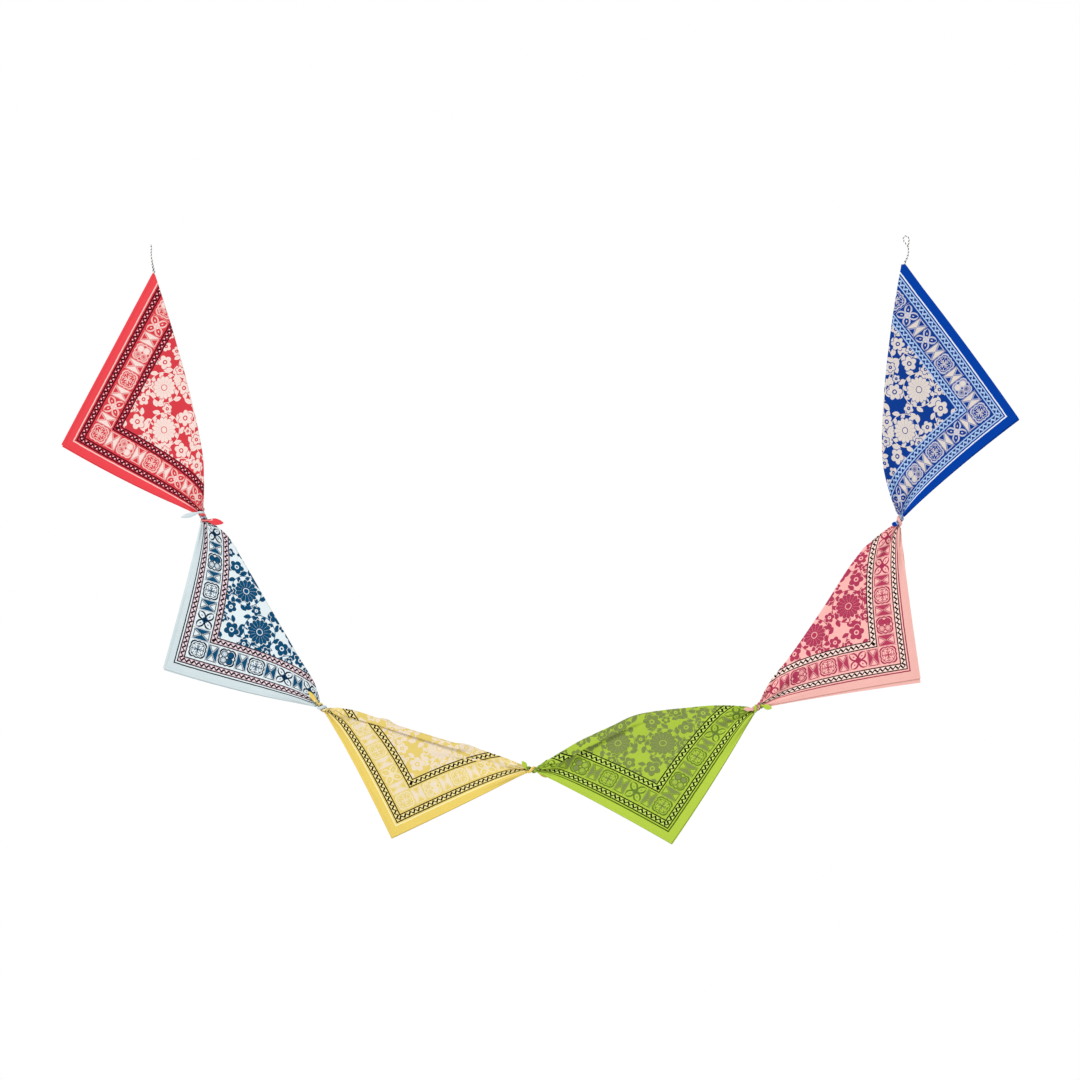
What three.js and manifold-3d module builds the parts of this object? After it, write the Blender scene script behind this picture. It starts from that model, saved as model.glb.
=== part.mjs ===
// Fabric bunting: six printed cotton bandanas, each folded corner to corner into a triangle of two
// layers and tied to the next one by its corners, with a twisted cord loop at each end.
// Millimetres. X runs right along the garland, Y into the wall behind it and Z up, and the origin
// is midway between the tops of the two loops. Front faces look along -Y.
import * as THREE from 'three';
import { mergeVertices } from 'three/addons/utils/BufferGeometryUtils.js';
import Module from 'manifold-3d';

const wasm = await Module();
wasm.setup();

// Driving dimensions of the cloth
const SIDE = 550;                            // a bandana's side, hem to hem
const HALF_FOLD = SIDE / Math.SQRT2;         // half of the fold, and the height of the triangle
const CLOTH = 1.0;                           // cotton with its hand, drawn a little thick
const LAYER_PITCH = 2.2;                     // middle of one layer to middle of the other
const HEM_WIDTH = 8;
const HEM = 1.7;                             // thickness of the turned hem at the cut edge
const CORNER_IN_KNOT = 100;                  // cloth that a corner gives up to knot and tail
const PULL_LENGTH = 420;                     // how far from a knot its pull draws the cloth in
const GATHER_START = 21;                     // from a knot's middle to the end of the open cloth

// Pleats that run out of each knot
const PLEATS = 2;                            // waves between the fold and the cut edge
const PLEAT_DEPTH = 5;
const PLEAT_PEAK = 50;                       // distance from the knot where they are deepest
const PLEAT_FADE = 90;

// Turned and tucked top edges: each bend is a half circle of this width from cloth to cloth
const BEND = 4.4;
const BEND_ARC = Math.PI * BEND / 2;
const FOLD_FADE = 50;                        // along the cloth from a knot until a bend is whole

// Knots: two strands that twist once round each other
const TWIST_RADIUS = 5.6;
const KNOT_LENGTH = 27;
const TAIL_THICKNESS = 2.6;                  // two layers of the corner, pressed flat
const TAIL_ROOT = 3.2;                       // how far a tail steps off the knot before it turns
const LEAST_TURN = 1.5 * Math.PI;            // of the two strands round each other
const MOST_TILT = 0.6;                       // of a tail's root away from straight out

// Hanging loops of two-ply cord
const CORD = 3.5;
const CORD_GROOVE = 2.4;                     // across the cord beside its two ridges
const CORD_LAY = 8.2;                        // length of one full turn of the plies

// Solid detail
const SECTIONS_PER_HALF = 5;
const BODY_COLUMNS = 8;
const STRAND_SIDES = 6;
const KNOT_STEPS = 10;
const CORD_SIDES = 6;
const STEPS_PER_LAY = 6;
const FINE = 60;                             // samples to measure a curved row of cloth
const SLIVER = 0.1;                         // faces thinner than this are merged away
const WEDGE = Math.PI / 4;                   // angle of a folded bandana's tip

// The five knots from left to right: the place of the middle, then the tip of the tail of the
// bandana on the left and of the bandana on the right, both from the middle, then the tail widths
// and the thickness of a corner pulled into a strand.
const KNOTS = [
  { at: [-912, 0, -772], leftTail: [58, -9, -19], rightTail: [-60, -11, -3], widths: [19, 14],
    strand: 7.1 },
  { at: [-578, 0, -1308], leftTail: [31, 11, -37], rightTail: [-37, -13, 46], widths: [10, 13],
    strand: 9.1 },
  { at: [10, 0, -1482], leftTail: [40, 11, -22], rightTail: [-28, -13, 24], widths: [10, 14],
    strand: 8.2 },
  { at: [640, 0, -1308], leftTail: [41, -11, -1], rightTail: [-38, -13, -3], widths: [16, 11],
    strand: 8.1 },
  { at: [1039, 0, -784], leftTail: [12, 11, 22], rightTail: [-22, -13, -9], widths: [10, 14],
    strand: 8.8 },
];

// The six bandanas from left to right. apex is the free corner; legs are the directions of the two
// hemmed sides from it, in degrees, to the left and the right tip; bow is how far each side swells
// outwards; slip is how far the back layer hangs from the front one at the apex; wave is the depth
// of the cloth's soft hollows; turned says that the top edge is turned over to the back. rise,
// tuck and strip have a figure for each of the STATIONS along the line between the two ties: how
// far the top edge stands above that line, how deep a pleat is tucked under it, and how wide a
// strip shows above the tuck.
const STATIONS = [0, 1 / 8, 1 / 4, 1 / 2, 3 / 4, 7 / 8, 1];
const BANDANAS = [
  { name: 'bandana_red', colour: '#f4454f', apex: [-1307.9, -571.2], legs: [62, -28],
    bow: [0, 5], slip: [2, -6], wave: 5, rise: [0, 10, 19, 31, 33, 20, 0] },
  { name: 'bandana_light_blue', colour: '#dce7ea', apex: [-1023.4, -1197.8], legs: [74.4, -15.6],
    bow: [0, 4], slip: [2, -5], wave: 5, turned: true, rise: [0, 28, 30, 25, 20, 18, 0] },
  { name: 'bandana_yellow', colour: '#f0d862', apex: [-383.3, -1672.4], legs: [115.7, 25],
    bow: [0, 0], slip: [0, -3], wave: 6, turned: true, rise: [0, 17, 16, 14, 13, 10, 0],
    tuck: [0, 20, 24, 14, 0, 0, 0], strip: [16, 28, 24, 22, 22, 20, 16] },
  { name: 'bandana_green', colour: '#aecb3a', apex: [399, -1688.7], legs: [151.5, 56.5],
    bow: [-3, 3], slip: [3, -3], wave: 6, turned: true, rise: [0, 24, 45, 65, 47, 29, 0],
    tuck: [0, 20, 12, 3, 0, 0, 0], strip: [16, 26, 28, 26, 22, 20, 16] },
  { name: 'bandana_pink', colour: '#f5b3ac', apex: [1097.6, -1226], legs: [189, 98.5],
    bow: [0, 0], slip: [0, -12], wave: 5, turned: true, rise: [0, 15, 14, 22, 34, 24, 0] },
  { name: 'bandana_blue', colour: '#0645b5', apex: [1372.8, -498.1], legs: [217.7, 126.3],
    bow: [0, 3], slip: [2, -4], wave: 5, rise: [0, 33, 50, 46, 28, 15, 0] },
];
const SEWN_RED = 6;                          // how far short of its tip the red corner is sewn
const SEWN_BLUE = 12;                        // and the blue one, whose corner is tucked blunt

// The two hanging loops: the middle line of each cord, from the corner it is sewn to, up, round
// the loop and back into the corner behind the first run.
const LOOPS = [
  { name: 'loop_left', route: [
    [-1050.2, 0, -90], [-1051.4, -1.4, -82], [-1052.6, -2.1, -75], [-1053.7, -2.1, -66],
    [-1054.5, -2.1, -57], [-1055.8, -2.1, -48], [-1056.4, -2.4, -40], [-1056.5, -4.6, -33],
    [-1056, -7.8, -26], [-1055.2, -8.2, -20], [-1055.6, -5, -14.9], [-1056.5, 0, -13],
    [-1057, 5, -14.9], [-1056.8, 8.2, -20], [-1056.4, 7.8, -26], [-1056.5, 4.6, -33],
    [-1056.4, 2.4, -40], [-1055.6, 2.1, -48], [-1053.9, 2.1, -57], [-1052.3, 2.1, -66],
    [-1050.4, 2.1, -75], [-1048.1, 1.4, -82], [-1046.4, 0, -90]] },
  { name: 'loop_right', route: [
    [1051.4, 0, -63.4], [1053.6, -1.5, -59], [1057.4, -2.1, -53], [1060.4, -2.1, -46],
    [1062.6, -2.1, -38], [1063.8, -2.1, -30], [1063.4, -2.1, -22], [1061, -2.1, -15],
    [1056.4, -1.6, -9], [1051.9, -1, -3], [1049.6, -0.4, 3.5], [1051, 0, 9.6], [1056, 0.3, 12.4],
    [1061.6, 0.6, 10.6], [1064.8, 1, 5.4], [1065.2, 1.4, -2], [1064.4, 1.8, -9],
    [1063.4, 2.1, -16], [1063.2, 2.1, -23], [1063.8, 2.1, -30], [1063.2, 2.1, -38],
    [1061.4, 2.1, -46], [1058.8, 2.1, -53], [1056, 1.5, -59], [1055.2, 0, -63.4]] },
];

const clamp = (x, low, high) => Math.min(high, Math.max(low, x));
const smooth = (x) => { const t = clamp(x, 0, 1); return t * t * (3 - 2 * t); };
const plus = (p, q, t = 1) => p.map((value, k) => value + q[k] * t);
const degrees = (angle) => angle * Math.PI / 180;
const inDepth = new THREE.Vector3(0, 1, 0);

// A bandana's two ends: a tied one is pulled to its knot, a sewn one stops short of its tip.
function endsOf(index) {
  const tied = (knot, tail, width) => ({ knot: KNOTS[knot], tail, width,
    start: CORNER_IN_KNOT + GATHER_START });
  const left = index === 0 ? { start: SEWN_RED }
    : tied(index - 1, KNOTS[index - 1].rightTail, KNOTS[index - 1].widths[1]);
  const right = index === BANDANAS.length - 1 ? { start: SEWN_BLUE }
    : tied(index, KNOTS[index].leftTail, KNOTS[index].widths[0]);
  return [{ ...left, sign: -1 }, { ...right, sign: 1 }];
}

// Where the cloth point u along the fold and v below it lies in the plane, before any pull.
function laidOut(row, u, v) {
  const alongRight = (u + HALF_FOLD - v) / Math.SQRT2;
  const alongLeft = (HALF_FOLD - u - v) / Math.SQRT2;
  let point = row.apex;
  [alongLeft, alongRight].forEach((along, k) => {
    const angle = degrees(row.legs[k]);
    const outwards = angle + (k === 0 ? 1 : -1) * Math.PI / 2;
    const other = k === 0 ? alongRight : alongLeft;
    const part = clamp(along / (SIDE - CORNER_IN_KNOT), 0, 1);
    const swell = row.bow[k] * 4 * part * (1 - part) * (1 - other / SIDE) ** 2;
    point = plus(point, [Math.cos(angle), Math.sin(angle)], along);
    point = plus(point, [Math.cos(outwards), Math.sin(outwards)], swell);
  });
  return point;
}

// The same point once both knots have drawn the cloth in.
function hung(row, ends, u, v) {
  let point = laidOut(row, u, v);
  for (const end of ends.filter((e) => e.knot)) {
    const fromTip = HALF_FOLD - end.sign * u;
    const rho = Math.hypot(fromTip, v);
    const pull = clamp(1 - (rho - CORNER_IN_KNOT) / PULL_LENGTH, 0, 1) ** 2;
    const scale = CORNER_IN_KNOT / rho;
    const rim = laidOut(row, end.sign * (HALF_FOLD - fromTip * scale), v * scale);
    point = plus(point, [end.knot.at[0] - rim[0], end.knot.at[2] - rim[1]], pull);
  }
  return point;
}

// Depth of the cloth at the same point: pleats near the knots and soft hollows over the body.
function depth(row, ends, u, v) {
  const hollows = Math.sin(u / 95 + v / 130) * Math.sin(v / 110 - u / 240 + 1);
  let y = row.wave * hollows * smooth(v / 160);
  for (const end of ends.filter((e) => e.knot)) {
    const fromTip = HALF_FOLD - end.sign * u;
    const away = Math.hypot(fromTip, v) - CORNER_IN_KNOT;
    const round = Math.atan2(v, fromTip) / WEDGE;
    const size = away < PLEAT_PEAK ? (Math.max(away, 0) / PLEAT_PEAK) ** 1.6
      : Math.exp(-(((away - PLEAT_PEAK) / PLEAT_FADE) ** 2));
    y += PLEAT_DEPTH * size * Math.sin(2 * Math.PI * PLEATS * round + end.sign);
  }
  return y;
}

// Figure at the fraction s of the line between the ties, on a smooth curve through a row's figures.
function figureAt(figures, s) {
  if (!figures) return 0;
  const place = clamp(s, 0, 1);
  let k = 0;
  while (k < STATIONS.length - 2 && place > STATIONS[k + 1]) k++;
  const slope = (i) => {
    const low = Math.max(i - 1, 0);
    const high = Math.min(i + 1, STATIONS.length - 1);
    return (figures[high] - figures[low]) / (STATIONS[high] - STATIONS[low]);
  };
  const span = STATIONS[k + 1] - STATIONS[k];
  const t = (place - STATIONS[k]) / span;
  return (2 * t ** 3 - 3 * t ** 2 + 1) * figures[k] + (t ** 3 - 2 * t ** 2 + t) * span * slope(k)
    + (3 * t ** 2 - 2 * t ** 3) * figures[k + 1] + (t ** 3 - t ** 2) * span * slope(k + 1);
}

// The line between a bandana's two ties: how far along it a point lies and how far above it.
function tieLine(row, ends) {
  const [from, to] = ends.map((end) => (end.knot ? [end.knot.at[0], end.knot.at[2]]
    : laidOut(row, end.sign * HALF_FOLD, 0)));
  const length = Math.hypot(to[0] - from[0], to[1] - from[1]);
  const along = [(to[0] - from[0]) / length, (to[1] - from[1]) / length];
  const up = [-along[1], along[0]];
  const place = (point) => {
    const offset = [point[0] - from[0], point[1] - from[1]];
    return { s: (offset[0] * along[0] + offset[1] * along[1]) / length,
      height: offset[0] * up[0] + offset[1] * up[1] };
  };
  return { up, place };
}

// One row of the cloth, at the flat distance `reach` from the tip: near the tip it is an arc about
// it, and at mid fold the straight line down to the apex. flatAt gives the cloth point at the
// distance q from the fold, and length is the row's whole length.
function flatRow(end, reach) {
  const open = (reach - end.start) / (HALF_FOLD - end.start);
  const flat = (phi) => {
    const rho = reach * ((1 - open) + open / Math.cos(phi));
    return [end.sign * (HALF_FOLD - rho * Math.cos(phi)), rho * Math.sin(phi)];
  };
  const run = [0];
  for (let k = 1; k <= FINE; k++) {
    const [u0, v0] = flat((k - 1) / FINE * WEDGE);
    const [u1, v1] = flat(k / FINE * WEDGE);
    run.push(run[k - 1] + Math.hypot(u1 - u0, v1 - v0));
  }
  const flatAt = (q) => {
    let k = 1;
    while (k < FINE && run[k] < q) k++;
    return flat((k - 1 + (q - run[k - 1]) / (run[k] - run[k - 1])) / FINE * WEDGE);
  };
  return { flatAt, length: run[FINE] };
}

// The same row as it hangs, as points from the fold to the hem in the middle between the layers.
// Cloth that would stand above the top edge is tucked under it and turned over to the back.
function spineRow(row, ends, end, reach) {
  const { flatAt, length } = flatRow(end, reach);
  const line = tieLine(row, ends);
  const above = (q) => {
    const { s, height } = line.place(hung(row, ends, ...flatAt(q)));
    return { s, gap: height - figureAt(row.rise, s) };
  };
  let crossing = 0;
  while (row.turned && above(crossing).gap > 0 && crossing < length / 2) crossing += 0.5;
  const s = above(crossing).s;
  const whole = smooth((reach - end.start) / FOLD_FADE);
  const hidden = crossing * whole;
  const tuck = Math.max(figureAt(row.tuck, s), 0) * whole;
  const strip = figureAt(row.strip, s);
  const turn = Math.max(hidden - 2 * tuck, 0);
  const topEdge = turn + 2 * tuck;
  const lift = -above(topEdge).gap / (1 - topEdge / length) ** 2;

  // The bends on the way up: the upper and the lower fold of the tuck, and the turned top edge
  const tuckBend = Math.PI * smooth(tuck / BEND_ARC);
  const turnArc = BEND_ARC * (1 + 2 * smooth(tuck / BEND_ARC));
  const turnBend = Math.PI * smooth(turn / turnArc);
  const bent = (q, middle, arc) => clamp((middle - q) / arc + 0.5, 0, 1);
  const upper = turn + strip + tuck;
  const lower = turn + strip;
  const heading = (q) => tuckBend * (bent(q, upper, BEND_ARC) - bent(q, lower, BEND_ARC))
    - turnBend * bent(q, turn, turnArc);

  // Distances from the fold where the row has a point
  const hem = Math.min(HEM_WIDTH, length / 3);
  const columns = [];
  let bodyStart = 0;
  if (row.turned) {
    const low = Math.max(turn - turnArc / 2, 1);
    bodyStart = turn + turnArc / 2;
    columns.push(0, low / 2, low, low + (bodyStart - low) / 3, low + (bodyStart - low) * 2 / 3);
  }
  if (row.tuck) {
    const first = Math.max(lower - BEND_ARC / 2, bodyStart + 1);
    const middle = (upper + lower) / 2;
    const lastOfLower = Math.min(first + BEND_ARC, middle - 0.5);
    columns.push(bodyStart, first, (first + lastOfLower) / 2, lastOfLower);
    bodyStart = upper + BEND_ARC / 2;
    const firstOfUpper = Math.max(upper - BEND_ARC / 2, middle + 0.5);
    columns.push(firstOfUpper, (firstOfUpper + bodyStart) / 2);
  }
  for (let k = 0; k <= BODY_COLUMNS; k++) {
    columns.push(bodyStart + (length - hem - bodyStart) * k / BODY_COLUMNS);
  }
  columns.push(length);

  const at = (q) => {
    const [u, v] = flatAt(q);
    return { plane: plus(hung(row, ends, u, v), line.up, lift * (1 - q / length) ** 2),
      y: depth(row, ends, u, v), v };
  };
  const base = at(bodyStart);
  const stretch = at(bodyStart + 1);
  return columns.map((q) => {
    let { plane, y, v } = at(q);
    if (q < bodyStart) {
      let rise = 0;
      let out = 0;
      const step = (bodyStart - q) / FINE;
      for (let k = 0; k < FINE; k++) {
        const angle = heading(bodyStart - (k + 0.5) * step);
        rise += Math.cos(angle) * step;
        out += Math.sin(angle) * step;
      }
      plane = plus(base.plane, plus(base.plane, stretch.plane, -1), rise);
      y = base.y - out;
    }
    return { place: new THREE.Vector3(plane[0], y, plane[1]), v, hem: q === length };
  });
}

// A closed body from rings of points, each with the same even count. The ends are capped by
// strips that join point k to point count - 1 - k. leansBack says where the diagonal of a quad
// runs the other way, so that faces on top of each other are split alike.
function loft(rings, leansBack = () => false) {
  const count = rings[0].length;
  const positions = rings.flat().flatMap((p) => [p.x, p.y, p.z]);
  const index = [];
  for (let i = 0; i + 1 < rings.length; i++) {
    for (let k = 0; k < count; k++) {
      const a = i * count + k;
      const b = i * count + (k + 1) % count;
      if (leansBack(k)) index.push(a, b, a + count, b, b + count, a + count);
      else index.push(a, b, b + count, a, b + count, a + count);
    }
  }
  const last = (rings.length - 1) * count;
  const cap = (base, a, b, c) => (base === 0 ? index.push(a, b, c)
    : index.push(base + a, base + c, base + b));
  for (const base of [0, last]) {
    for (let k = 0; k < count / 2 - 1; k++) {
      const far = count - 1 - k;
      cap(base, k, far, k + 1);
      if (far - 1 > k + 1) cap(base, k + 1, far, far - 1);
    }
  }
  const geometry = new THREE.BufferGeometry();
  geometry.setAttribute('position', new THREE.Float32BufferAttribute(positions, 3));
  geometry.setIndex(index);
  return outward(geometry);
}

// The same body with its faces pointing out.
function outward(geometry) {
  const places = geometry.attributes.position;
  const index = geometry.index.array;
  const corner = (k) => new THREE.Vector3().fromBufferAttribute(places, index[k]);
  let volume = 0;
  for (let k = 0; k < index.length; k += 3) {
    volume += corner(k).dot(corner(k + 1).cross(corner(k + 2)));
  }
  if (volume < 0) {
    for (let k = 0; k < index.length; k += 3) {
      [index[k], index[k + 1]] = [index[k + 1], index[k]];
    }
  }
  return geometry;
}

// A manifold solid from a closed geometry, and a geometry from a manifold solid.
function solidOf(geometry) {
  const merged = mergeVertices(geometry);
  return new wasm.Manifold(new wasm.Mesh({
    numProp: 3,
    vertProperties: new Float32Array(merged.attributes.position.array),
    triVerts: new Uint32Array(merged.index.array),
  }));
}

function geometryOf(solid) {
  const mesh = solid.getMesh();
  const geometry = new THREE.BufferGeometry();
  geometry.setAttribute('position', new THREE.BufferAttribute(mesh.vertProperties, 3));
  geometry.setIndex(new THREE.BufferAttribute(mesh.triVerts, 1));
  return geometry;
}

// The two layers of a folded bandana, as one back-and-forth section lofted from end to end.
function foldedSheet(row, ends) {
  const rows = [];
  for (const end of ends) {
    const half = [];
    for (let i = 0; i <= SECTIONS_PER_HALF; i++) {
      const reach = end.start + (HALF_FOLD - end.start) * (i / SECTIONS_PER_HALF) ** 1.5;
      half.push(spineRow(row, ends, end, reach));
    }
    if (end.sign < 0) rows.push(...half);
    else rows.push(...half.reverse().slice(1));
  }
  const lastRow = rows.length - 1;
  const lastColumn = rows[0].length - 1;
  const place = (i, j) => rows[clamp(i, 0, lastRow)][clamp(j, 0, lastColumn)].place;
  const slip = new THREE.Vector3(row.slip[0], 0, row.slip[1]);
  const rings = rows.map((items, i) => {
    // A layer's face: layer is -1 in front and 1 behind, face -1 towards the front
    const faceOf = (layer, face) => items.map((item, j) => {
      const along = place(i + 1, j).clone().sub(place(i - 1, j));
      const across = place(i, j + 1).clone().sub(place(i, j - 1));
      const normal = along.cross(across).normalize();
      const half = (item.hem ? HEM : CLOTH) / 2;
      const slipped = layer > 0 ? item.v / HALF_FOLD : 0;
      return item.place.clone().addScaledVector(normal, layer * LAYER_PITCH / 2 + face * half)
        .addScaledVector(slip, slipped);
    });
    const beyond = place(i, 0).clone().sub(place(i, 1)).normalize();
    const tip = (face) => place(i, 0).clone()
      .addScaledVector(beyond, LAYER_PITCH / 2 + face * CLOTH / 2);
    return [...faceOf(-1, -1).reverse(), tip(1), ...faceOf(1, 1),
      ...faceOf(1, -1).reverse(), tip(-1), ...faceOf(-1, 1)];
  });
  const columns = lastColumn + 1;
  return loft(rings, (k) => k < columns || (k > 2 * columns && k <= 3 * columns));
}

// A tube along points with an oval section at each, wide in the plane and thin in depth.
function ovalTube(stops) {
  const rings = stops.map((stop, i) => {
    const before = stops[Math.max(i - 1, 0)].at;
    const after = stops[Math.min(i + 1, stops.length - 1)].at;
    const tangent = after.clone().sub(before).normalize();
    const wide = inDepth.clone().cross(tangent).normalize();
    const thin = tangent.clone().cross(wide);
    return Array.from({ length: STRAND_SIDES }, (_, k) => {
      const angle = (k + 0.5) / STRAND_SIDES * 2 * Math.PI;
      return stop.at.clone().addScaledVector(wide, Math.cos(angle) * stop.wide / 2)
        .addScaledVector(thin, Math.sin(angle) * stop.thick / 2);
    });
  });
  return loft(rings);
}

// The middle of the gathered cloth at the distance `away` from its knot, and its width there.
function gathered(row, ends, end, away) {
  const spot = (phi) => {
    const rho = CORNER_IN_KNOT + away;
    const u = end.sign * (HALF_FOLD - rho * Math.cos(phi));
    const v = rho * Math.sin(phi);
    const [x, z] = hung(row, ends, u, v);
    return new THREE.Vector3(x, depth(row, ends, u, v), z);
  };
  return { at: spot(WEDGE / 2), wide: spot(0).distanceTo(spot(WEDGE)) };
}

// The middle line of one strand in a knot, from its own cloth to the root of its tail. It keeps
// opposite the other bandana's strand all the way round.
function knotRoute(end) {
  const index = KNOTS.indexOf(end.knot);
  const middle = new THREE.Vector3(...end.knot.at);
  const direction = (bandana, side) => {
    const ends = endsOf(bandana);
    return gathered(BANDANAS[bandana], ends, ends[side], GATHER_START).at.sub(middle).setY(0)
      .normalize();
  };
  const axis = direction(index, 1).sub(direction(index + 1, 0)).normalize();
  const across = inDepth.clone().cross(axis).normalize();
  const round = (tail) => {
    const reach = new THREE.Vector3(...tail);
    const tilt = clamp(across.dot(reach) / reach.length(), -MOST_TILT, MOST_TILT);
    return Math.atan2(Math.sign(tail[1]), tilt);
  };
  const leftEntry = round(end.knot.rightTail) + Math.PI;
  let turn = round(end.knot.leftTail) - leftEntry;
  while (turn < LEAST_TURN) turn += 2 * Math.PI;
  const isLeft = end.sign > 0;
  const route = [];
  for (let k = 0; k <= KNOT_STEPS; k++) {
    const t = k / KNOT_STEPS;
    const angle = leftEntry + turn * t + (isLeft ? 0 : Math.PI);
    route.push(middle.clone().addScaledVector(axis, KNOT_LENGTH * (0.5 - t))
      .addScaledVector(across, TWIST_RADIUS * Math.cos(angle))
      .addScaledVector(inDepth, TWIST_RADIUS * Math.sin(angle)));
  }
  return isLeft ? route : route.reverse();
}

// A corner from where the gathered cloth runs together, through the knot and out as a flat tail.
function cornerStrand(row, ends, end) {
  const route = knotRoute(end);
  const strand = end.knot.strand;
  const exit = route[route.length - 1];
  const tip = new THREE.Vector3(...end.knot.at).add(new THREE.Vector3(...end.tail));
  const stops = [[42, 0.3, 2.4], [31, 0.7, 6], [GATHER_START, 1, 8]].map(([away, part, thick]) => {
    const { at, wide } = gathered(row, ends, end, away);
    return { at, wide: wide * part, thick };
  });
  route.forEach((at) => stops.push({ at, wide: strand, thick: strand }));
  const root = exit.clone().addScaledVector(inDepth, Math.sign(end.tail[1]) * TAIL_ROOT);
  for (const [t, wide, thick] of [[0.14, 6, 5], [0.32, end.width * 0.75, 3.6],
    [0.56, end.width, TAIL_THICKNESS], [0.8, end.width * 0.7, TAIL_THICKNESS],
    [1, end.width * 0.2, TAIL_THICKNESS / 2]]) {
    stops.push({ at: root.clone().lerp(tip, t), wide, thick });
  }
  return ovalTube(stops);
}

// A cord of two plies along a route: two ridges run round a tube, once in each lay.
function twistedCord(route) {
  const curve = new THREE.CatmullRomCurve3(route.map((p) => new THREE.Vector3(...p)), false,
    'centripetal');
  const steps = Math.round(curve.getLength() / CORD_LAY * STEPS_PER_LAY);
  let side = new THREE.Vector3(1, 0, 0);
  const rings = [];
  for (let i = 0; i <= steps; i++) {
    const at = curve.getPointAt(i / steps);
    const tangent = curve.getTangentAt(i / steps);
    side = side.clone().addScaledVector(tangent, -side.dot(tangent)).normalize();
    const other = tangent.clone().cross(side);
    rings.push(Array.from({ length: CORD_SIDES }, (_, k) => {
      const angle = k / CORD_SIDES * 2 * Math.PI;
      const onRidge = (k - i) % (CORD_SIDES / 2) === 0;
      const radius = (onRidge ? CORD : CORD_GROOVE) / 2;
      return at.clone().addScaledVector(side, Math.cos(angle) * radius)
        .addScaledVector(other, Math.sin(angle) * radius);
    }));
  }
  return loft(rings);
}

function addPiece(group, name, geometry, colour, roughness) {
  const material = new THREE.MeshStandardMaterial({ color: colour, roughness, metalness: 0 });
  const mesh = new THREE.Mesh(geometry, material);
  mesh.name = name;
  group.add(mesh);
}

const bunting = new THREE.Group();
BANDANAS.forEach((row, index) => {
  const ends = endsOf(index);
  let solid = solidOf(foldedSheet(row, ends));
  for (const end of ends.filter((e) => e.knot)) {
    solid = solid.add(solidOf(cornerStrand(row, ends, end)));
  }
  addPiece(bunting, row.name, geometryOf(solid.simplify(SLIVER)), row.colour, 0.9);
});
for (const loop of LOOPS) {
  addPiece(bunting, loop.name, twistedCord(loop.route), '#8a8684', 0.85);
}

export default bunting;
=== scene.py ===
"""Fabric bunting: six printed cotton bandanas, folded corner to corner and tied in a row by their
corners, with a loop of two-ply cord at each end. The tables are in millimetres, X right, Y into
the wall and Z up from midway between the tops of the loops. The meshes are in metres."""

import math

import bpy
import numpy as np
from bpy.props import FloatProperty, FloatVectorProperty, IntProperty, PointerProperty
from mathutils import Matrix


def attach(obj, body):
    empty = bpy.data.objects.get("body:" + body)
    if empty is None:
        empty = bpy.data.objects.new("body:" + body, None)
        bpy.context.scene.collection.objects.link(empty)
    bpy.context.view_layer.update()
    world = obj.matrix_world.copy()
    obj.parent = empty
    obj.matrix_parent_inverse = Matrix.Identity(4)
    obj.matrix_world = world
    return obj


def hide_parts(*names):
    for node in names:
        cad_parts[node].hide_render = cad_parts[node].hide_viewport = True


bl_info = {
    "name": "Fabric bunting",
    "version": (1, 0, 0),
    "blender": (4, 5, 0),
    "location": "View3D > Sidebar > Bunting",
    "description": "Printed bandanas tied in a garland with a cord loop at each end",
    "category": "Object",
}

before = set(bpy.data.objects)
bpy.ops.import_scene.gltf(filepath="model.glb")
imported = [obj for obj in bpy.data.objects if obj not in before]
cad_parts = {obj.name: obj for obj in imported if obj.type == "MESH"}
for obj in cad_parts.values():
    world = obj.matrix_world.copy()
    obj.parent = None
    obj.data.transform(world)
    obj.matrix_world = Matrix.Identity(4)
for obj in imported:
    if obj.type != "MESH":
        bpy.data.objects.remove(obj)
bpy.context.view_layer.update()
MM = 0.001

# Camera: straight on to the fronts, the whole garland in a square picture
PICTURE_CENTRE = (32.2, -838.6)
PICTURE_SIZE = 3024.0
CAMERA_DISTANCE = 20000.0
SENSOR = 36.0

# Hanging loops: the middle line of each cord, from the corner up, round and back down
LOOPS = [
    ("loop_left", [
        (-1050.2, 0, -90), (-1051.4, -1.4, -82), (-1052.6, -2.1, -75), (-1053.7, -2.1, -66),
        (-1054.5, -2.1, -57), (-1055.8, -2.1, -48), (-1056.4, -2.4, -40), (-1056.5, -4.6, -33),
        (-1056, -7.8, -26), (-1055.2, -8.2, -20), (-1055.6, -5, -14.9), (-1056.5, 0, -13),
        (-1057, 5, -14.9), (-1056.8, 8.2, -20), (-1056.4, 7.8, -26), (-1056.5, 4.6, -33),
        (-1056.4, 2.4, -40), (-1055.6, 2.1, -48), (-1053.9, 2.1, -57), (-1052.3, 2.1, -66),
        (-1050.4, 2.1, -75), (-1048.1, 1.4, -82), (-1046.4, 0, -90)]),
    ("loop_right", [
        (1051.4, 0, -63.4), (1053.6, -1.5, -59), (1057.4, -2.1, -53), (1060.4, -2.1, -46),
        (1062.6, -2.1, -38), (1063.8, -2.1, -30), (1063.4, -2.1, -22), (1061, -2.1, -15),
        (1056.4, -1.6, -9), (1051.9, -1, -3), (1049.6, -0.4, 3.5), (1051, 0, 9.6),
        (1056, 0.3, 12.4), (1061.6, 0.6, 10.6), (1064.8, 1, 5.4), (1065.2, 1.4, -2),
        (1064.4, 1.8, -9), (1063.4, 2.1, -16), (1063.2, 2.1, -23), (1063.8, 2.1, -30),
        (1063.2, 2.1, -38), (1061.4, 2.1, -46), (1058.8, 2.1, -53), (1056, 1.5, -59),
        (1055.2, 0, -63.4)]),
]

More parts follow.
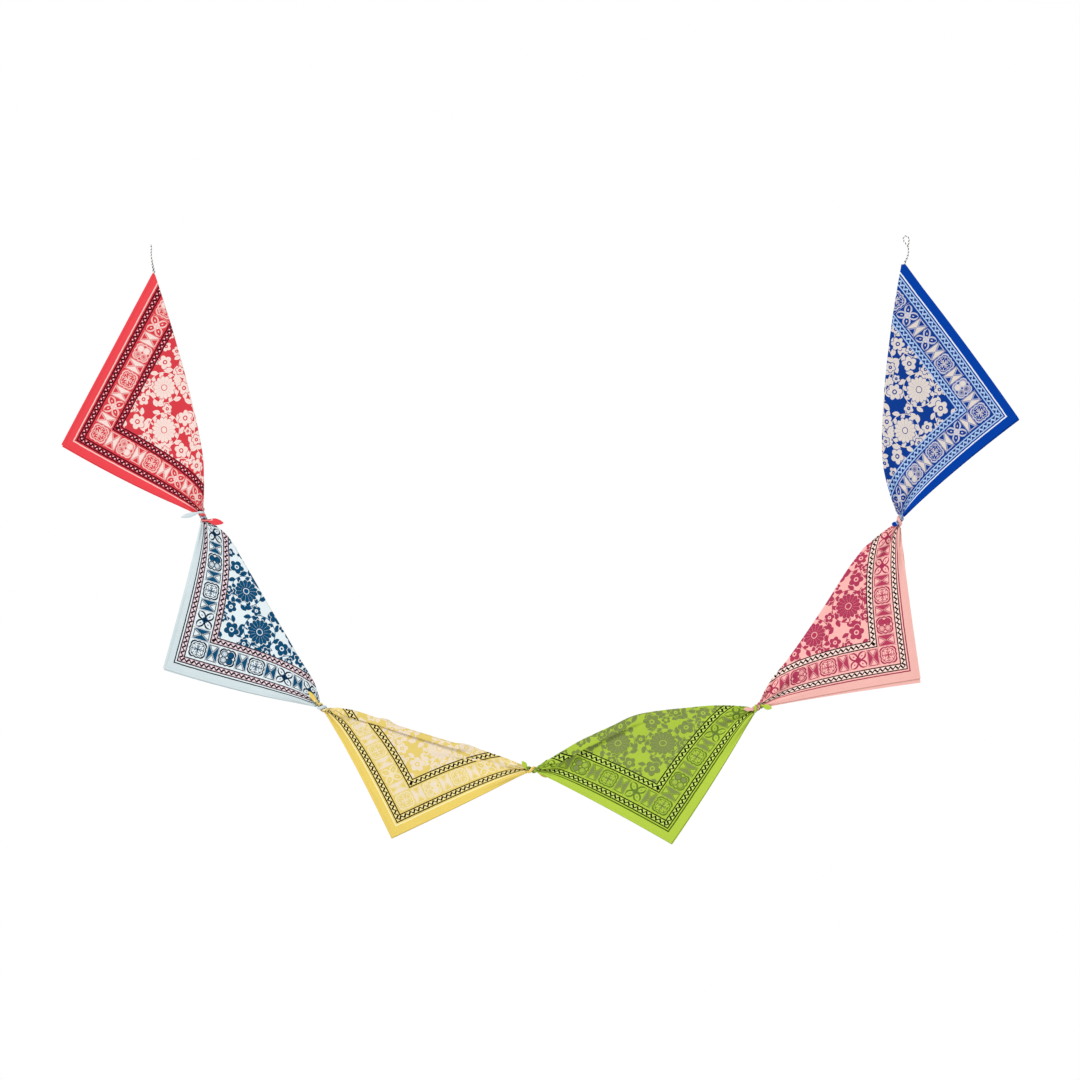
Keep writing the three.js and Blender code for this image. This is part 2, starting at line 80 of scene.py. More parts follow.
# Cloth, as in the solids
SIDE = 550.0
ROOT2 = math.sqrt(2)
HALF_FOLD = SIDE / ROOT2
WEDGE = math.pi / 4
CORNER_IN_KNOT = 100.0
PULL_LENGTH = 420.0
GATHER_START = 21.0
PLEATS, PLEAT_DEPTH, PLEAT_PEAK, PLEAT_FADE = 2, 5.0, 50.0, 90.0
BEND_ARC = math.pi * 4.4 / 2
FOLD_FADE = 50.0
TWIST_RADIUS, KNOT_LENGTH, KNOT_STEPS = 5.6, 27.0, 10
TAIL_ROOT, LEAST_TURN, MOST_TILT = 3.2, 1.5 * math.pi, 0.6
SEWN_RED, SEWN_BLUE = 6.0, 12.0
STATIONS = (0, 1 / 8, 1 / 4, 1 / 2, 3 / 4, 7 / 8, 1)
LEVEL = (0,) * len(STATIONS)

# Soft hollows: two crossed waves, as lengths along the fold and down from it, and how far below
# the fold they are full
HOLLOW_ALONG, HOLLOW_DOWN, HOLLOW_FULL = (95, 240), (130, 110), 160
# Fine gathers: how many across the cloth, how far off the knot they are deepest, and their fading
GATHERS, GATHER_PEAK, GATHER_FADE = 6.5, 25, 80
# Rows stand closer together towards the knots, by this power
ROW_CROWDING = 1.5
# Folds round a strand: depth as a share of its radius and number, for the fine and the coarse
FINE_FOLDS, COARSE_FOLDS = (0.07, 9), (0.04, 4)
# Share of a knotted corner in which the open cloth closes to a strand
CLOSING_SHARE = 0.17
# A tail: share of the way to its tip, width and thickness. The neck's width is in millimetres and
# those of the blade are shares of the tail's own.
TAIL_NECK = (0.14, 6, 5)
TAIL_BLADE = ((0.32, 0.75, 3.6), (0.56, 1, 2.8), (0.8, 0.7, 2.6), (1, 0.16, 1.6))
# In a knotted corner each layer's points lie at least this share of the row from the fold
FOLD_SHARE = 0.012

# Cord: rings in one turn of the plies, sides of a ply, and its radius as a share of the diameter
RINGS_A_TURN, PLY_SIDES, PLY_SHARE = 16, 9, 0.33

# The knots: middle, tips of the two tails from it, widths of the tails and thickness of a strand
KNOTS = [
    {"at": (-912, 0, -772), "tails": ((58, -9, -19), (-60, -11, -3)), "widths": (19, 14), "strand": 7.1},
    {"at": (-578, 0, -1308), "tails": ((31, 11, -37), (-37, -13, 46)), "widths": (10, 13), "strand": 9.1},
    {"at": (10, 0, -1482), "tails": ((40, 11, -22), (-28, -13, 24)), "widths": (10, 14), "strand": 8.2},
    {"at": (640, 0, -1308), "tails": ((41, -11, -1), (-38, -13, -3)), "widths": (16, 11), "strand": 8.1},
    {"at": (1039, 0, -784), "tails": ((12, 11, 22), (-22, -13, -9)), "widths": (10, 14), "strand": 8.8},
]

# The bandanas, with the same columns as the solids' table
BANDANAS = [
    {"name": "red", "apex": (-1307.9, -571.2), "legs": (62, -28), "bow": (0, 5), "slip": (2, -6),
     "wave": 5, "turned": False, "rise": (0, 10, 19, 31, 33, 20, 0)},
    {"name": "light_blue", "apex": (-1023.4, -1197.8), "legs": (74.4, -15.6), "bow": (0, 4),
     "slip": (2, -5), "wave": 5, "turned": True, "rise": (0, 28, 30, 25, 20, 18, 0)},
    {"name": "yellow", "apex": (-383.3, -1672.4), "legs": (115.7, 25), "bow": (0, 0),
     "slip": (0, -3), "wave": 6, "turned": True, "rise": (0, 17, 16, 14, 13, 10, 0),
     "tuck": (0, 20, 24, 14, 0, 0, 0), "strip": (16, 28, 24, 22, 22, 20, 16)},
    {"name": "green", "apex": (399, -1688.7), "legs": (151.5, 56.5), "bow": (-3, 3),
     "slip": (3, -3), "wave": 6, "turned": True, "rise": (0, 24, 45, 65, 47, 29, 0),
     "tuck": (0, 20, 12, 3, 0, 0, 0), "strip": (16, 26, 28, 26, 22, 20, 16)},
    {"name": "pink", "apex": (1097.6, -1226), "legs": (189, 98.5), "bow": (0, 0),
     "slip": (0, -12), "wave": 5, "turned": True, "rise": (0, 15, 14, 22, 34, 24, 0)},
    {"name": "blue", "apex": (1372.8, -498.1), "legs": (217.7, 126.3), "bow": (0, 3),
     "slip": (2, -4), "wave": 5, "turned": False, "rise": (0, 33, 50, 46, 28, 15, 0)},
]

# Creases pressed or pulled into one bandana: its name, the two ends in the plane, how far the
# cloth stands forward there (a trough if negative) and half its width.
CREASES = [
    ("yellow", (-277, -1430), (-197, -1440), 4.5, 7),
    ("yellow", (-161, -1449), (-72, -1470), -4.5, 7),
    ("yellow", (-250, -1404), (-120, -1452), 3.8, 9),
    ("green", (20, -1480), (190, -1400), 6.5, 10),
    ("green", (60, -1488), (260, -1412), -5.5, 9),
    ("green", (520, -1315), (612, -1326), 3.8, 7),
    ("pink", (1020, -838), (1054, -908), -5.2, 8),
    ("pink", (662, -1296), (740, -1210), 3.8, 8),
    ("pink", (1046, -842), (1066, -930), 4.0, 6),
    ("red", (-958, -706), (-930, -758), -4.5, 7),
    ("red", (-1010, -700), (-925, -775), 3.8, 9),
    ("light_blue", (-880, -810), (-820, -930), 3.8, 9),
    ("light_blue", (-925, -812), (-966, -985), -4.0, 9),
    ("light_blue", (-760, -1226), (-640, -1290), 3.0, 8),
    ("blue", (1000, -600), (1030, -760), 4.5, 10),
    ("blue", (1060, -720), (1042, -776), -3.8, 7),
]

# sRGB colours of each bandana: cloth, print, outlines, lines and zigzag, ground of the zigzag
# band, the small triangles in it, the line round the plain edge and the ground inside that line.
COLOURS = {
    "red": ("#e7464f", "#efd8d1", "#ecbcb6", "#42060f", "#b83046", "#f4dedb", "#f2c4be", "#d23c46"),
    "light_blue": ("#cddade", "#0c4a70", "#06223a", "#180209", "#d4bcc6", "#fbf0f4", "#061a2a", "#dde8ec"),
    "yellow": ("#e6cb68", "#e8d8c2", "#e8dab0", "#0c0400", "#e8d484", "#f8f0c8", "#f4e8ae", "#e0c870"),
    "green": ("#b0ca46", "#7f8c50", "#607c2a", "#0a1602", "#b4ce56", "#d4e68a", "#405e14", "#a8c242"),
    "pink": ("#ecb4ac", "#b03c5a", "#a23252", "#1a0a0a", "#f8d6cc", "#fff0e8", "#98384e", "#f6b6b0"),
    "blue": ("#003c9e", "#d8cec6", "#bcbccc", "#a6c2e6", "#183a82", "#06205c", "#e4ecf6", "#0a388a"),
}
ROLES = ("cloth", "print", "outline", "line", "band", "teeth", "edge_line", "ground")
CORD_BLACK, CORD_WHITE = "#0d0c0e", "#fdfcfa"
FLOOR, LIGHT = "#f3f2f0", "#ffffff"
FLOOR_REACH = 42000.0
# The lights: name, turn about X and about Z in degrees, share of the key light, spread in degrees
LIGHTS = [("key_light", 52, -42, 1.0, 18), ("fill_light", 80, 50, 0.25, 40),
          ("back_light", -62, -25, 0.55, 40)]


def linear(text):
    """A colour as Blender takes it, from its sRGB hex text."""
    parts = [int(text[k:k + 2], 16) / 255 for k in (1, 3, 5)]
    return tuple(c / 12.92 if c <= 0.04045 else ((c + 0.055) / 1.055) ** 2.4 for c in parts)


def rgba(colour):
    return (*tuple(colour)[:3], 1.0)


# Settings that a user would change

def length_setting(name, description, millimetres):
    return FloatProperty(name=name, description=description, default=millimetres * MM,
                         unit="LENGTH")


def colour_setting(name, description, colour):
    return FloatVectorProperty(name=name, description=description, default=linear(colour),
                               subtype="COLOR")


class BUNTING_PG_cloth(bpy.types.PropertyGroup):
    """Sizes of the cloth"""
    thickness: length_setting("Thickness", "Thickness of the cotton", 0.5)
    layer_pitch: length_setting("Layer pitch", "Middle of one layer to middle of the other", 1.6)
    hem_width: length_setting("Hem width", "Width of the turned hem", 8)
    hem_rise: length_setting("Hem rise", "How far the hem stands off the cloth", 0.35)
    gathers: length_setting("Gathers", "Depth of the fine gathers beside a knot", 2.2)
    body_rows: IntProperty(name="Rows", description="Rows in each half of a bandana", default=46)
    body_columns: IntProperty(name="Columns", description="Columns from fold to hem", default=34)
    knot_rows: IntProperty(name="Knot rows", description="Rows in one knotted corner", default=66)
    stitch_pitch: length_setting("Stitch pitch", "From one stitch to the next", 3)
    stitch_length: length_setting("Stitch length", "Length of one stitch", 2.1)


class BUNTING_PG_cord(bpy.types.PropertyGroup):
    """Sizes and colours of the hanging loops"""
    diameter: length_setting("Diameter", "Across both plies", 3.5)
    lay: length_setting("Lay", "Length of one turn of the plies", 9.0)
    black: colour_setting("Black ply", "Colour of the black ply", CORD_BLACK)
    white: colour_setting("White ply", "Colour of the white ply", CORD_WHITE)


class BUNTING_PG_colours(bpy.types.PropertyGroup):
    """Colours of the six bandanas"""
    __annotations__ = {
        f"{name}_{role}": colour_setting(
            f"{name} {role}".replace("_", " "),
            f"Colour of the {role} of the {name} bandana".replace("_", " "), colour)
        for name, colours in COLOURS.items() for role, colour in zip(ROLES, colours)}


class BUNTING_PG_stage(bpy.types.PropertyGroup):
    """The floor, the light and the camera"""
    floor_level: FloatProperty(name="Floor level", description="Height of the floor",
                               default=-6.0, unit="LENGTH")
    floor_colour: colour_setting("Floor colour", "Colour of the floor", FLOOR)
    surround: FloatProperty(name="Surround", description="Strength of the light all round",
                            default=0.4)
    key_power: FloatProperty(name="Key light", default=2.1,
                             description="Strength of the light from above on the left")


# The form of the cloth

def smooth(x):
    t = np.clip(x, 0, 1)
    return t * t * (3 - 2 * t)


def unit(v):
    v = np.asarray(v, float)
    return v / np.maximum(np.linalg.norm(v, axis=-1, keepdims=True), 1e-9)


def direction(angle):
    return np.array((math.cos(angle), math.sin(angle)))


def step_lengths(points):
    return np.linalg.norm(np.diff(points, axis=0), axis=1)


def summed(steps):
    """The sum of the steps up to each point, from 0 at the first."""
    return np.concatenate(([0], np.cumsum(steps)))


def ends_of(index):
    """A bandana's two ends, with the knot and the tail of each tied one."""
    def tied(knot, side):
        return {"knot": knot, "tail": KNOTS[knot]["tails"][side],
                "width": KNOTS[knot]["widths"][side], "start": CORNER_IN_KNOT + GATHER_START}
    left = {"knot": None, "start": SEWN_RED} if index == 0 else tied(index - 1, 1)
    right = ({"knot": None, "start": SEWN_BLUE} if index == len(BANDANAS) - 1
             else tied(index, 0))
    return {**left, "sign": -1}, {**right, "sign": 1}


def laid_out(row, u, v):
    """Where the cloth point u along the fold and v below it lies in the plane, before any pull."""
    along = ((HALF_FOLD - u - v) / ROOT2, (u + HALF_FOLD - v) / ROOT2)
    point = np.zeros(np.shape(u) + (2,)) + row["apex"]
    for k, turn in ((0, 0.5), (1, -0.5)):
        angle = math.radians(row["legs"][k])
        part = np.clip(along[k] / (SIDE - CORNER_IN_KNOT), 0, 1)
        swell = row["bow"][k] * 4 * part * (1 - part) * (1 - along[1 - k] / SIDE) ** 2
        point = (point + along[k][..., None] * direction(angle)
                 + swell[..., None] * direction(angle + turn * math.pi))
    return point


def knot_spot(end):
    """Where an end's knot lies in the plane."""
    return np.array(KNOTS[end["knot"]]["at"], float)[[0, 2]]


def tied_ends(ends, u, v):
    """Each tied end, with a cloth point's distance from its tip along the fold and in all."""
    for end in ends:
        if end["knot"] is not None:
            from_tip = HALF_FOLD - end["sign"] * u
            yield end, from_tip, np.maximum(np.hypot(from_tip, v), 1e-6)


def hung(row, ends, u, v):
    """The same point once the knots have drawn the cloth in."""
    u, v = np.asarray(u, float), np.asarray(v, float)
    point = laid_out(row, u, v)
    for end, from_tip, rho in tied_ends(ends, u, v):
        pull = np.clip(1 - (rho - CORNER_IN_KNOT) / PULL_LENGTH, 0, 1) ** 2
        scale = CORNER_IN_KNOT / rho
        rim = laid_out(row, end["sign"] * (HALF_FOLD - from_tip * scale), v * scale)
        point = point + (knot_spot(end) - rim) * pull[..., None]
    return point


def depth(row, ends, u, v, gathers=0.0):
    """Depth of the cloth: pleats near the knots, soft hollows over the body, and fine gathers."""
    u, v = np.asarray(u, float), np.asarray(v, float)
    (along_1, along_2), (down_1, down_2) = HOLLOW_ALONG, HOLLOW_DOWN
    hollows = np.sin(u / along_1 + v / down_1) * np.sin(v / down_2 - u / along_2 + 1)
    y = row["wave"] * hollows * smooth(v / HOLLOW_FULL)
    for end, from_tip, rho in tied_ends(ends, u, v):
        away = rho - CORNER_IN_KNOT
        wedge = np.arctan2(v, from_tip) / WEDGE
        size = np.where(away < PLEAT_PEAK, (np.clip(away, 0, None) / PLEAT_PEAK) ** 1.6,
                        np.exp(-(((away - PLEAT_PEAK) / PLEAT_FADE) ** 2)))
        y = y + PLEAT_DEPTH * size * np.sin(2 * math.pi * PLEATS * wedge + end["sign"])
        fine = np.sin(2 * math.pi * (GATHERS * wedge + 0.5 * np.sin(5 * wedge)) + end["knot"])
        reach = (np.clip(away / GATHER_PEAK, 0, 1)
                 * np.exp(-np.clip(away - GATHER_PEAK, 0, None) / GATHER_FADE))
        y = y + gathers * reach * fine
    return y


def creased(name, plane):
    """How far the creases of the table move the cloth, at points in the plane."""
    total = np.zeros(plane.shape[:-1])
    for owner, start, stop, height, half in CREASES:
        if owner != name:
            continue
        start, stop = np.array(start, float), np.array(stop, float)
        run = stop - start
        t = np.clip(((plane - start) @ run) / (run @ run), 0, 1)
        off = np.linalg.norm(plane - (start + t[..., None] * run), axis=-1)
        total -= height * np.exp(-((off / half) ** 2)) * (0.35 + 0.65 * np.sin(math.pi * t))
    return total


def figure_at(figures, s):
    """Figure at the fraction s of the line between the ties, on a curve through a row's figures."""
    place = min(max(s, 0.0), 1.0)
    k = 0
    while k < len(STATIONS) - 2 and place > STATIONS[k + 1]:
        k += 1

    def slope(i):
        low, high = max(i - 1, 0), min(i + 1, len(STATIONS) - 1)
        return (figures[high] - figures[low]) / (STATIONS[high] - STATIONS[low])
    span = STATIONS[k + 1] - STATIONS[k]
    t = (place - STATIONS[k]) / span
    return ((2 * t ** 3 - 3 * t ** 2 + 1) * figures[k] + (t ** 3 - 2 * t ** 2 + t) * span * slope(k)
            + (3 * t ** 2 - 2 * t ** 3) * figures[k + 1] + (t ** 3 - t ** 2) * span * slope(k + 1))


def tie_line(row, ends):
    """The line between a bandana's two ties: its upward side, and where a point lies by it."""
    tips = [knot_spot(end) if end["knot"] is not None
            else laid_out(row, np.array(end["sign"] * HALF_FOLD), np.array(0.0)) for end in ends]
    length = np.linalg.norm(tips[1] - tips[0])
    along = (tips[1] - tips[0]) / length
    up = np.array((-along[1], along[0]))
    return up, lambda point: ((point - tips[0]) @ along / length, (point - tips[0]) @ up)


def flat_row(end, reach):
    """One row of the cloth as a map from the distance from the fold to the cloth point."""
    spread = (reach - end["start"]) / (HALF_FOLD - end["start"])
    phi = np.linspace(0, WEDGE, 121)

    def flat(angle):
        rho = reach * ((1 - spread) + spread / np.cos(angle))
        return end["sign"] * (HALF_FOLD - rho * np.cos(angle)), rho * np.sin(angle)
    u, v = flat(phi)
    run = summed(np.hypot(np.diff(u), np.diff(v)))
    return (lambda q: flat(np.interp(q, run, phi))), run[-1]


def spine_row(row, ends, end, reach, cloth):
    """One row as it hangs: points from the fold to the hem, midway between the two layers, with
    their cloth points and their distances from the fold as shares of the row."""
    flat_at, length = flat_row(end, reach)
    up, place = tie_line(row, ends)
    rise = row["rise"]

    def above(q):
        s, height = place(hung(row, ends, *flat_at(q)))
        return s, height - figure_at(rise, float(s))
    crossing = 0.0
    while row["turned"] and above(crossing)[1] > 0 and crossing < length / 2:
        crossing += 0.5
    s = float(above(crossing)[0])
    whole = float(smooth((reach - end["start"]) / FOLD_FADE))
    hidden = crossing * whole
    tuck = max(figure_at(row.get("tuck", LEVEL), s), 0) * whole
    strip = figure_at(row.get("strip", LEVEL), s)
    turn = max(hidden - 2 * tuck, 0)
    top_edge = turn + 2 * tuck
    lift = -above(top_edge)[1] / (1 - top_edge / length) ** 2

    tuck_bend = math.pi * float(smooth(tuck / BEND_ARC))
    turn_arc = BEND_ARC * (1 + 2 * float(smooth(tuck / BEND_ARC)))
    turn_bend = math.pi * float(smooth(turn / turn_arc))
    upper, lower = turn + strip + tuck, turn + strip

    def heading(q):
        bent = lambda middle, arc: np.clip((middle - q) / arc + 0.5, 0, 1)
        return (tuck_bend * (bent(upper, BEND_ARC) - bent(lower, BEND_ARC))
                - turn_bend * bent(turn, turn_arc))

    # Distances from the fold where the row has a point
    columns, body_start = [], 0.0
    if row["turned"]:
        low = max(turn - turn_arc / 2, 1.0)
        body_start = turn + turn_arc / 2
        columns += [np.linspace(0, low, 5), np.linspace(low, body_start, 7)[1:-1]]
    if "tuck" in row:
        first = max(lower - BEND_ARC / 2, body_start + 1)
        middle = (upper + lower) / 2
        last_low = min(first + BEND_ARC, middle - 0.5)
        first_up = max(upper - BEND_ARC / 2, middle + 0.5)
        columns += [np.linspace(body_start, first, 9)[:-1], np.linspace(first, last_low, 6),
                    np.linspace(last_low, first_up, 6)[1:-1],
                    np.linspace(first_up, upper + BEND_ARC / 2, 6)[:-1]]
        body_start = upper + BEND_ARC / 2
    hem = cloth.hem_width / MM
    columns += [np.linspace(body_start, length - hem - 0.8, cloth.body_columns),
                length - np.array((hem, hem * 0.85, hem * 0.4, 0.7, 0.0))]
    q = np.concatenate(columns)

    def at(q):
        u, v = flat_at(q)
        plane = hung(row, ends, u, v) + up * (lift * (1 - q / length) ** 2)[..., None]
        y = depth(row, ends, u, v, cloth.gathers / MM) + creased(row["name"], plane)
        return u, v, plane, y
    u, v, plane, y = at(q)
    base = at(np.array([body_start, body_start + 1]))
    bent = q < body_start
    if bent.any():
        steps = np.linspace(body_start, 0, 400)
        angle = heading((steps[1:] + steps[:-1]) / 2)
        size = body_start / 399
        climb = summed(np.cos(angle)) * size
        out = summed(np.sin(angle)) * size
        gone = body_start - q[bent]
        slope = base[2][0] - base[2][1]
        plane[bent] = base[2][0] + slope * np.interp(gone, body_start - steps, climb)[:, None]
        y[bent] = base[3][0] - np.interp(gone, body_start - steps, out)
    return {"points": np.stack((plane[:, 0], y, plane[:, 1]), axis=1), "u": u, "v": v,
            "share": q / length, "from_hem": length - q}


def gathered(row, ends, end, away):
    """The middle of the gathered cloth at the distance away from its knot."""
    rho = CORNER_IN_KNOT + away
    u = np.array(end["sign"] * (HALF_FOLD - rho * math.cos(WEDGE / 2)))
    v = np.array(rho * math.sin(WEDGE / 2))
    x, z = hung(row, ends, u, v)
    return np.array((x, float(depth(row, ends, u, v)), z))


def knot_route(end):
    """The middle line of one strand, from its own cloth to the root of its tail."""
    index = end["knot"]
    knot = KNOTS[index]
    middle = np.array(knot["at"], float)

    def heading(bandana, side):
        ends = ends_of(bandana)
        away = gathered(BANDANAS[bandana], ends, ends[side], GATHER_START) - middle
        away[1] = 0
        return unit(away)
    axis = unit(heading(index, 1) - heading(index + 1, 0))
    back = np.array((0.0, 1.0, 0.0))
    across = unit(np.cross(back, axis))

    def angle_of(tail):
        tail = np.array(tail, float)
        tilt = np.clip(across @ tail / np.linalg.norm(tail), -MOST_TILT, MOST_TILT)
        return math.atan2(np.sign(tail[1]), tilt)
    entry = angle_of(knot["tails"][1]) + math.pi
    turn = angle_of(knot["tails"][0]) - entry
    while turn < LEAST_TURN:
        turn += 2 * math.pi
    is_left = end["sign"] > 0
    t = np.linspace(0, 1, KNOT_STEPS + 1)
    angle = entry + turn * t + (0 if is_left else math.pi)
    route = (middle + np.outer(KNOT_LENGTH * (0.5 - t), axis)
             + np.outer(TWIST_RADIUS * np.cos(angle), across)
             + np.outer(TWIST_RADIUS * np.sin(angle), back))
    return route if is_left else route[::-1]


def curve_through(points, count):
    """count points, evenly spaced, on a smooth curve through the given ones."""
    p = np.asarray(points, float)
    p = np.vstack((2 * p[0] - p[1], p, 2 * p[-1] - p[-2]))
    knots = summed(step_lengths(p) ** 0.5)
    found = []
    for k in range(1, len(p) - 2):
        t0, t1, t2, t3 = knots[k - 1:k + 3]
        t = np.linspace(t1, t2, 24, endpoint=k == len(p) - 3)[:, None]
        a1 = (t1 - t) / (t1 - t0) * p[k - 1] + (t - t0) / (t1 - t0) * p[k]
        a2 = (t2 - t) / (t2 - t1) * p[k] + (t - t1) / (t2 - t1) * p[k + 1]
        a3 = (t3 - t) / (t3 - t2) * p[k + 1] + (t - t2) / (t3 - t2) * p[k + 2]
        b1 = (t2 - t) / (t2 - t0) * a1 + (t - t0) / (t2 - t0) * a2
        b2 = (t3 - t) / (t3 - t1) * a2 + (t - t1) / (t3 - t1) * a3
        found.append((t2 - t) / (t2 - t1) * b1 + (t - t1) / (t2 - t1) * b2)
    fine = np.vstack(found)
    run = summed(step_lengths(fine))
    at = np.linspace(0, run[-1], count)
    return np.stack([np.interp(at, run, fine[:, k]) for k in range(fine.shape[1])], axis=1)


def carried_frames(path, start_side):
    """Tangent and two sides at each point of a path, carried along without turning about it."""
    tangents = unit(np.gradient(path, axis=0))
    side = unit(start_side - tangents[0] * (tangents[0] @ start_side))
    sides = []
    for tangent in tangents:
        side = unit(side - tangent * (tangent @ side))
        sides.append(side)
    sides = np.array(sides)
    return tangents, sides, np.cross(tangents, sides)


def corner_rings(end, first, signs, cloth):
    """Rings of cloth from the start of the gathers through the knot to the tip of the tail. first
    is the last open row, as points round from the front hem over the fold to the back hem, and
    signs tell how far round each point is, from 1 at the front hem to -1 at the back hem."""
    knot = KNOTS[end["knot"]]
    route = knot_route(end)
    tail = np.array(end["tail"], float)
    root = route[-1] + np.array((0, np.sign(tail[1]) * TAIL_ROOT, 0))
    tip = np.array(knot["at"], float) + tail
    centre = first.mean(axis=0)
    width = end["width"]
    stops = [(p, knot["strand"], knot["strand"]) for p in (centre, *route)]
    blade = [(t, width * share, thick) for t, share, thick in TAIL_BLADE]
    stops += [(root + (tip - root) * t, wide, thick) for t, wide, thick in (TAIL_NECK, *blade)]
    control = np.array([(*p, wide, thick) for p, wide, thick in stops])
    run = curve_through(control, cloth.knot_rows)
    path = run[:, :3]
    to_fold = first[len(first) // 2] - (first[0] + first[-1]) / 2
    tangents, sides, others = carried_frames(path, to_fold * (1, 0, 1))
    flip = 1 if others[0][1] < 0 else -1
    theta = math.pi * signs
    (fine, fine_count), (coarse, coarse_count) = FINE_FOLDS, COARSE_FOLDS
    lobes = (fine * np.cos(fine_count * theta + 2 * np.sin(2 * theta))
             + coarse * np.cos(coarse_count * theta + 1))
    rows, reaches = [], []
    for m in range(1, len(path)):
        tangent, side, other = tangents[m], sides[m], others[m] * flip
        facing = np.outer(np.cos(theta), side) + np.outer(np.sin(theta), other)
        wide_way = unit(np.cross((0, 1, 0), tangent))
        thin_way = np.cross(tangent, wide_way)
        wide, thick = run[m, 3] / 2, run[m, 4] / 2
        radius = 1 / np.hypot(facing @ wide_way / wide, facing @ thin_way / thick)
        along = m / (len(path) - 1)
        radius = radius * (0.95 + lobes * (1.3 - along))
        ring = path[m] + facing * radius[:, None]
        open_shape = path[m] + (first - centre) * (1 - 0.5 * along)
        blend = float(smooth(m / (CLOSING_SHARE * len(path))))
        rows.append(open_shape * (1 - blend) + ring * blend)
        reaches.append((1 - along) * end["start"] + 1.0)
    return rows, reaches


def flat_spot(u, v):
    """The cloth point as a share of the square's side, from the free corner of the front."""
    return np.stack(((u + HALF_FOLD - v), (HALF_FOLD - u - v)), axis=-1) / ROOT2 / SIDE


def bandana_grid(row, index, cloth):
    """The whole folded bandana as a grid of points and of places on the flat square."""
    ends = ends_of(index)
    body = []
    for end in ends:
        half = []
        for i in range(cloth.body_rows + 1):
            outward = (i / cloth.body_rows) ** ROW_CROWDING
            reach = end["start"] + (HALF_FOLD - end["start"]) * outward
            half.append(spine_row(row, ends, end, reach, cloth))
        body += half if end["sign"] < 0 else half[::-1][1:]
    points = np.array([r["points"] for r in body])
    along = np.gradient(points, axis=0)
    across = np.gradient(points, axis=1)
    normal = unit(np.cross(along, across))
    from_hem = np.array([r["from_hem"] for r in body])
    u, v = np.array([r["u"] for r in body]), np.array([r["v"] for r in body])
    hem = smooth((cloth.hem_width / MM + 0.4 - from_hem) / 0.8) * cloth.hem_rise / MM
    half = cloth.layer_pitch / MM / 2
    slip = np.array((row["slip"][0], 0, row["slip"][1]), float) * (v / HALF_FOLD)[..., None]
    front = points - normal * (half + hem)[..., None]
    back = points + normal * (half + hem)[..., None] + slip
    beyond = unit(points[:, 0] - points[:, 1])
    tips = [points[:, 0] + half * (beyond * math.sin(a) - normal[:, 0] * math.cos(a))
            for a in (math.pi / 4, math.pi / 2, 3 * math.pi / 4)]
    grid = np.concatenate((front[:, ::-1], np.stack(tips, axis=1), back), axis=1)
    fold = np.zeros((len(body), 3))
    flat = np.concatenate((
        flat_spot(u, v)[:, ::-1],
        flat_spot(np.repeat(u[:, :1], 3, axis=1), fold),
        flat_spot(u, -v)), axis=1)
    for end in ends:
        if end["knot"] is None:
            continue
        first = grid[0] if end["sign"] < 0 else grid[-1]
        share = body[0 if end["sign"] < 0 else -1]["share"]
        share = np.maximum(share, FOLD_SHARE)
        signs = np.concatenate((share[::-1], (FOLD_SHARE / 2, 0, -FOLD_SHARE / 2), -share))
        rings, reaches = corner_rings(end, first, signs, cloth)
        phi = WEDGE * signs
        spots = [flat_spot(end["sign"] * (HALF_FOLD - r * np.cos(phi)), r * np.sin(phi))
                 for r in reaches]
        if end["sign"] < 0:
            grid, flat = np.concatenate((rings[::-1], grid)), np.concatenate((spots[::-1], flat))
        else:
            grid, flat = np.concatenate((grid, rings)), np.concatenate((flat, spots))
    # The stitches run along the second column of the hem, on the front and on the back
    seam = len(body[0]["share"]) - 4
    lines = [(points + (normal * side * (half + cloth.thickness / MM * 0.75 + 0.25))
              + (slip if side > 0 else 0))[:, seam] for side in (-1, 1)]
    return grid, flat, lines


# Meshes

def mesh_object(name, points, faces, uv=None, edges=()):
    """A mesh object from points in millimetres, with the flat places as its UV map."""
    mesh = bpy.data.meshes.new(name)
    mesh.from_pydata((np.asarray(points) * MM).tolist(), edges, faces)
    if uv is not None:
        layer = mesh.uv_layers.new(name="flat")
        loops = np.empty(len(mesh.loops), int)
        mesh.loops.foreach_get("vertex_index", loops)
        layer.data.foreach_set("uv", np.asarray(uv)[loops].ravel())
    mesh.polygons.foreach_set("use_smooth", [True] * len(mesh.polygons))
    obj = bpy.data.objects.new(name, mesh)
    bpy.context.scene.collection.objects.link(obj)
    return obj


def grid_faces(rows, columns, closed=False):
    faces = []
    for i in range(rows - 1):
        for j in range(columns if closed else columns - 1):
            a, b = i * columns + j, i * columns + (j + 1) % columns
            faces.append((a, b, b + columns, a + columns))
    return faces


def settled(obj):
    """The object's mesh with its modifiers worked in, and no modifier left."""
    graph = bpy.context.evaluated_depsgraph_get()
    mesh = bpy.data.meshes.new_from_object(obj.evaluated_get(graph))
    obj.modifiers.clear()
    obj.data = mesh
    return obj


# Materials

def add_node(tree, kind, inputs=(), **settings):
    """One node, with its settings made and its inputs linked or set."""
    node = tree.nodes.new(kind)
    for key, value in settings.items():
        setattr(node, key, value)
    for key, value in dict(inputs).items():
        value = value.socket if isinstance(value, Number) else value
        if isinstance(value, bpy.types.NodeSocket):
            tree.links.new(value, node.inputs[key])
        else:
            node.inputs[key].default_value = value
    return node


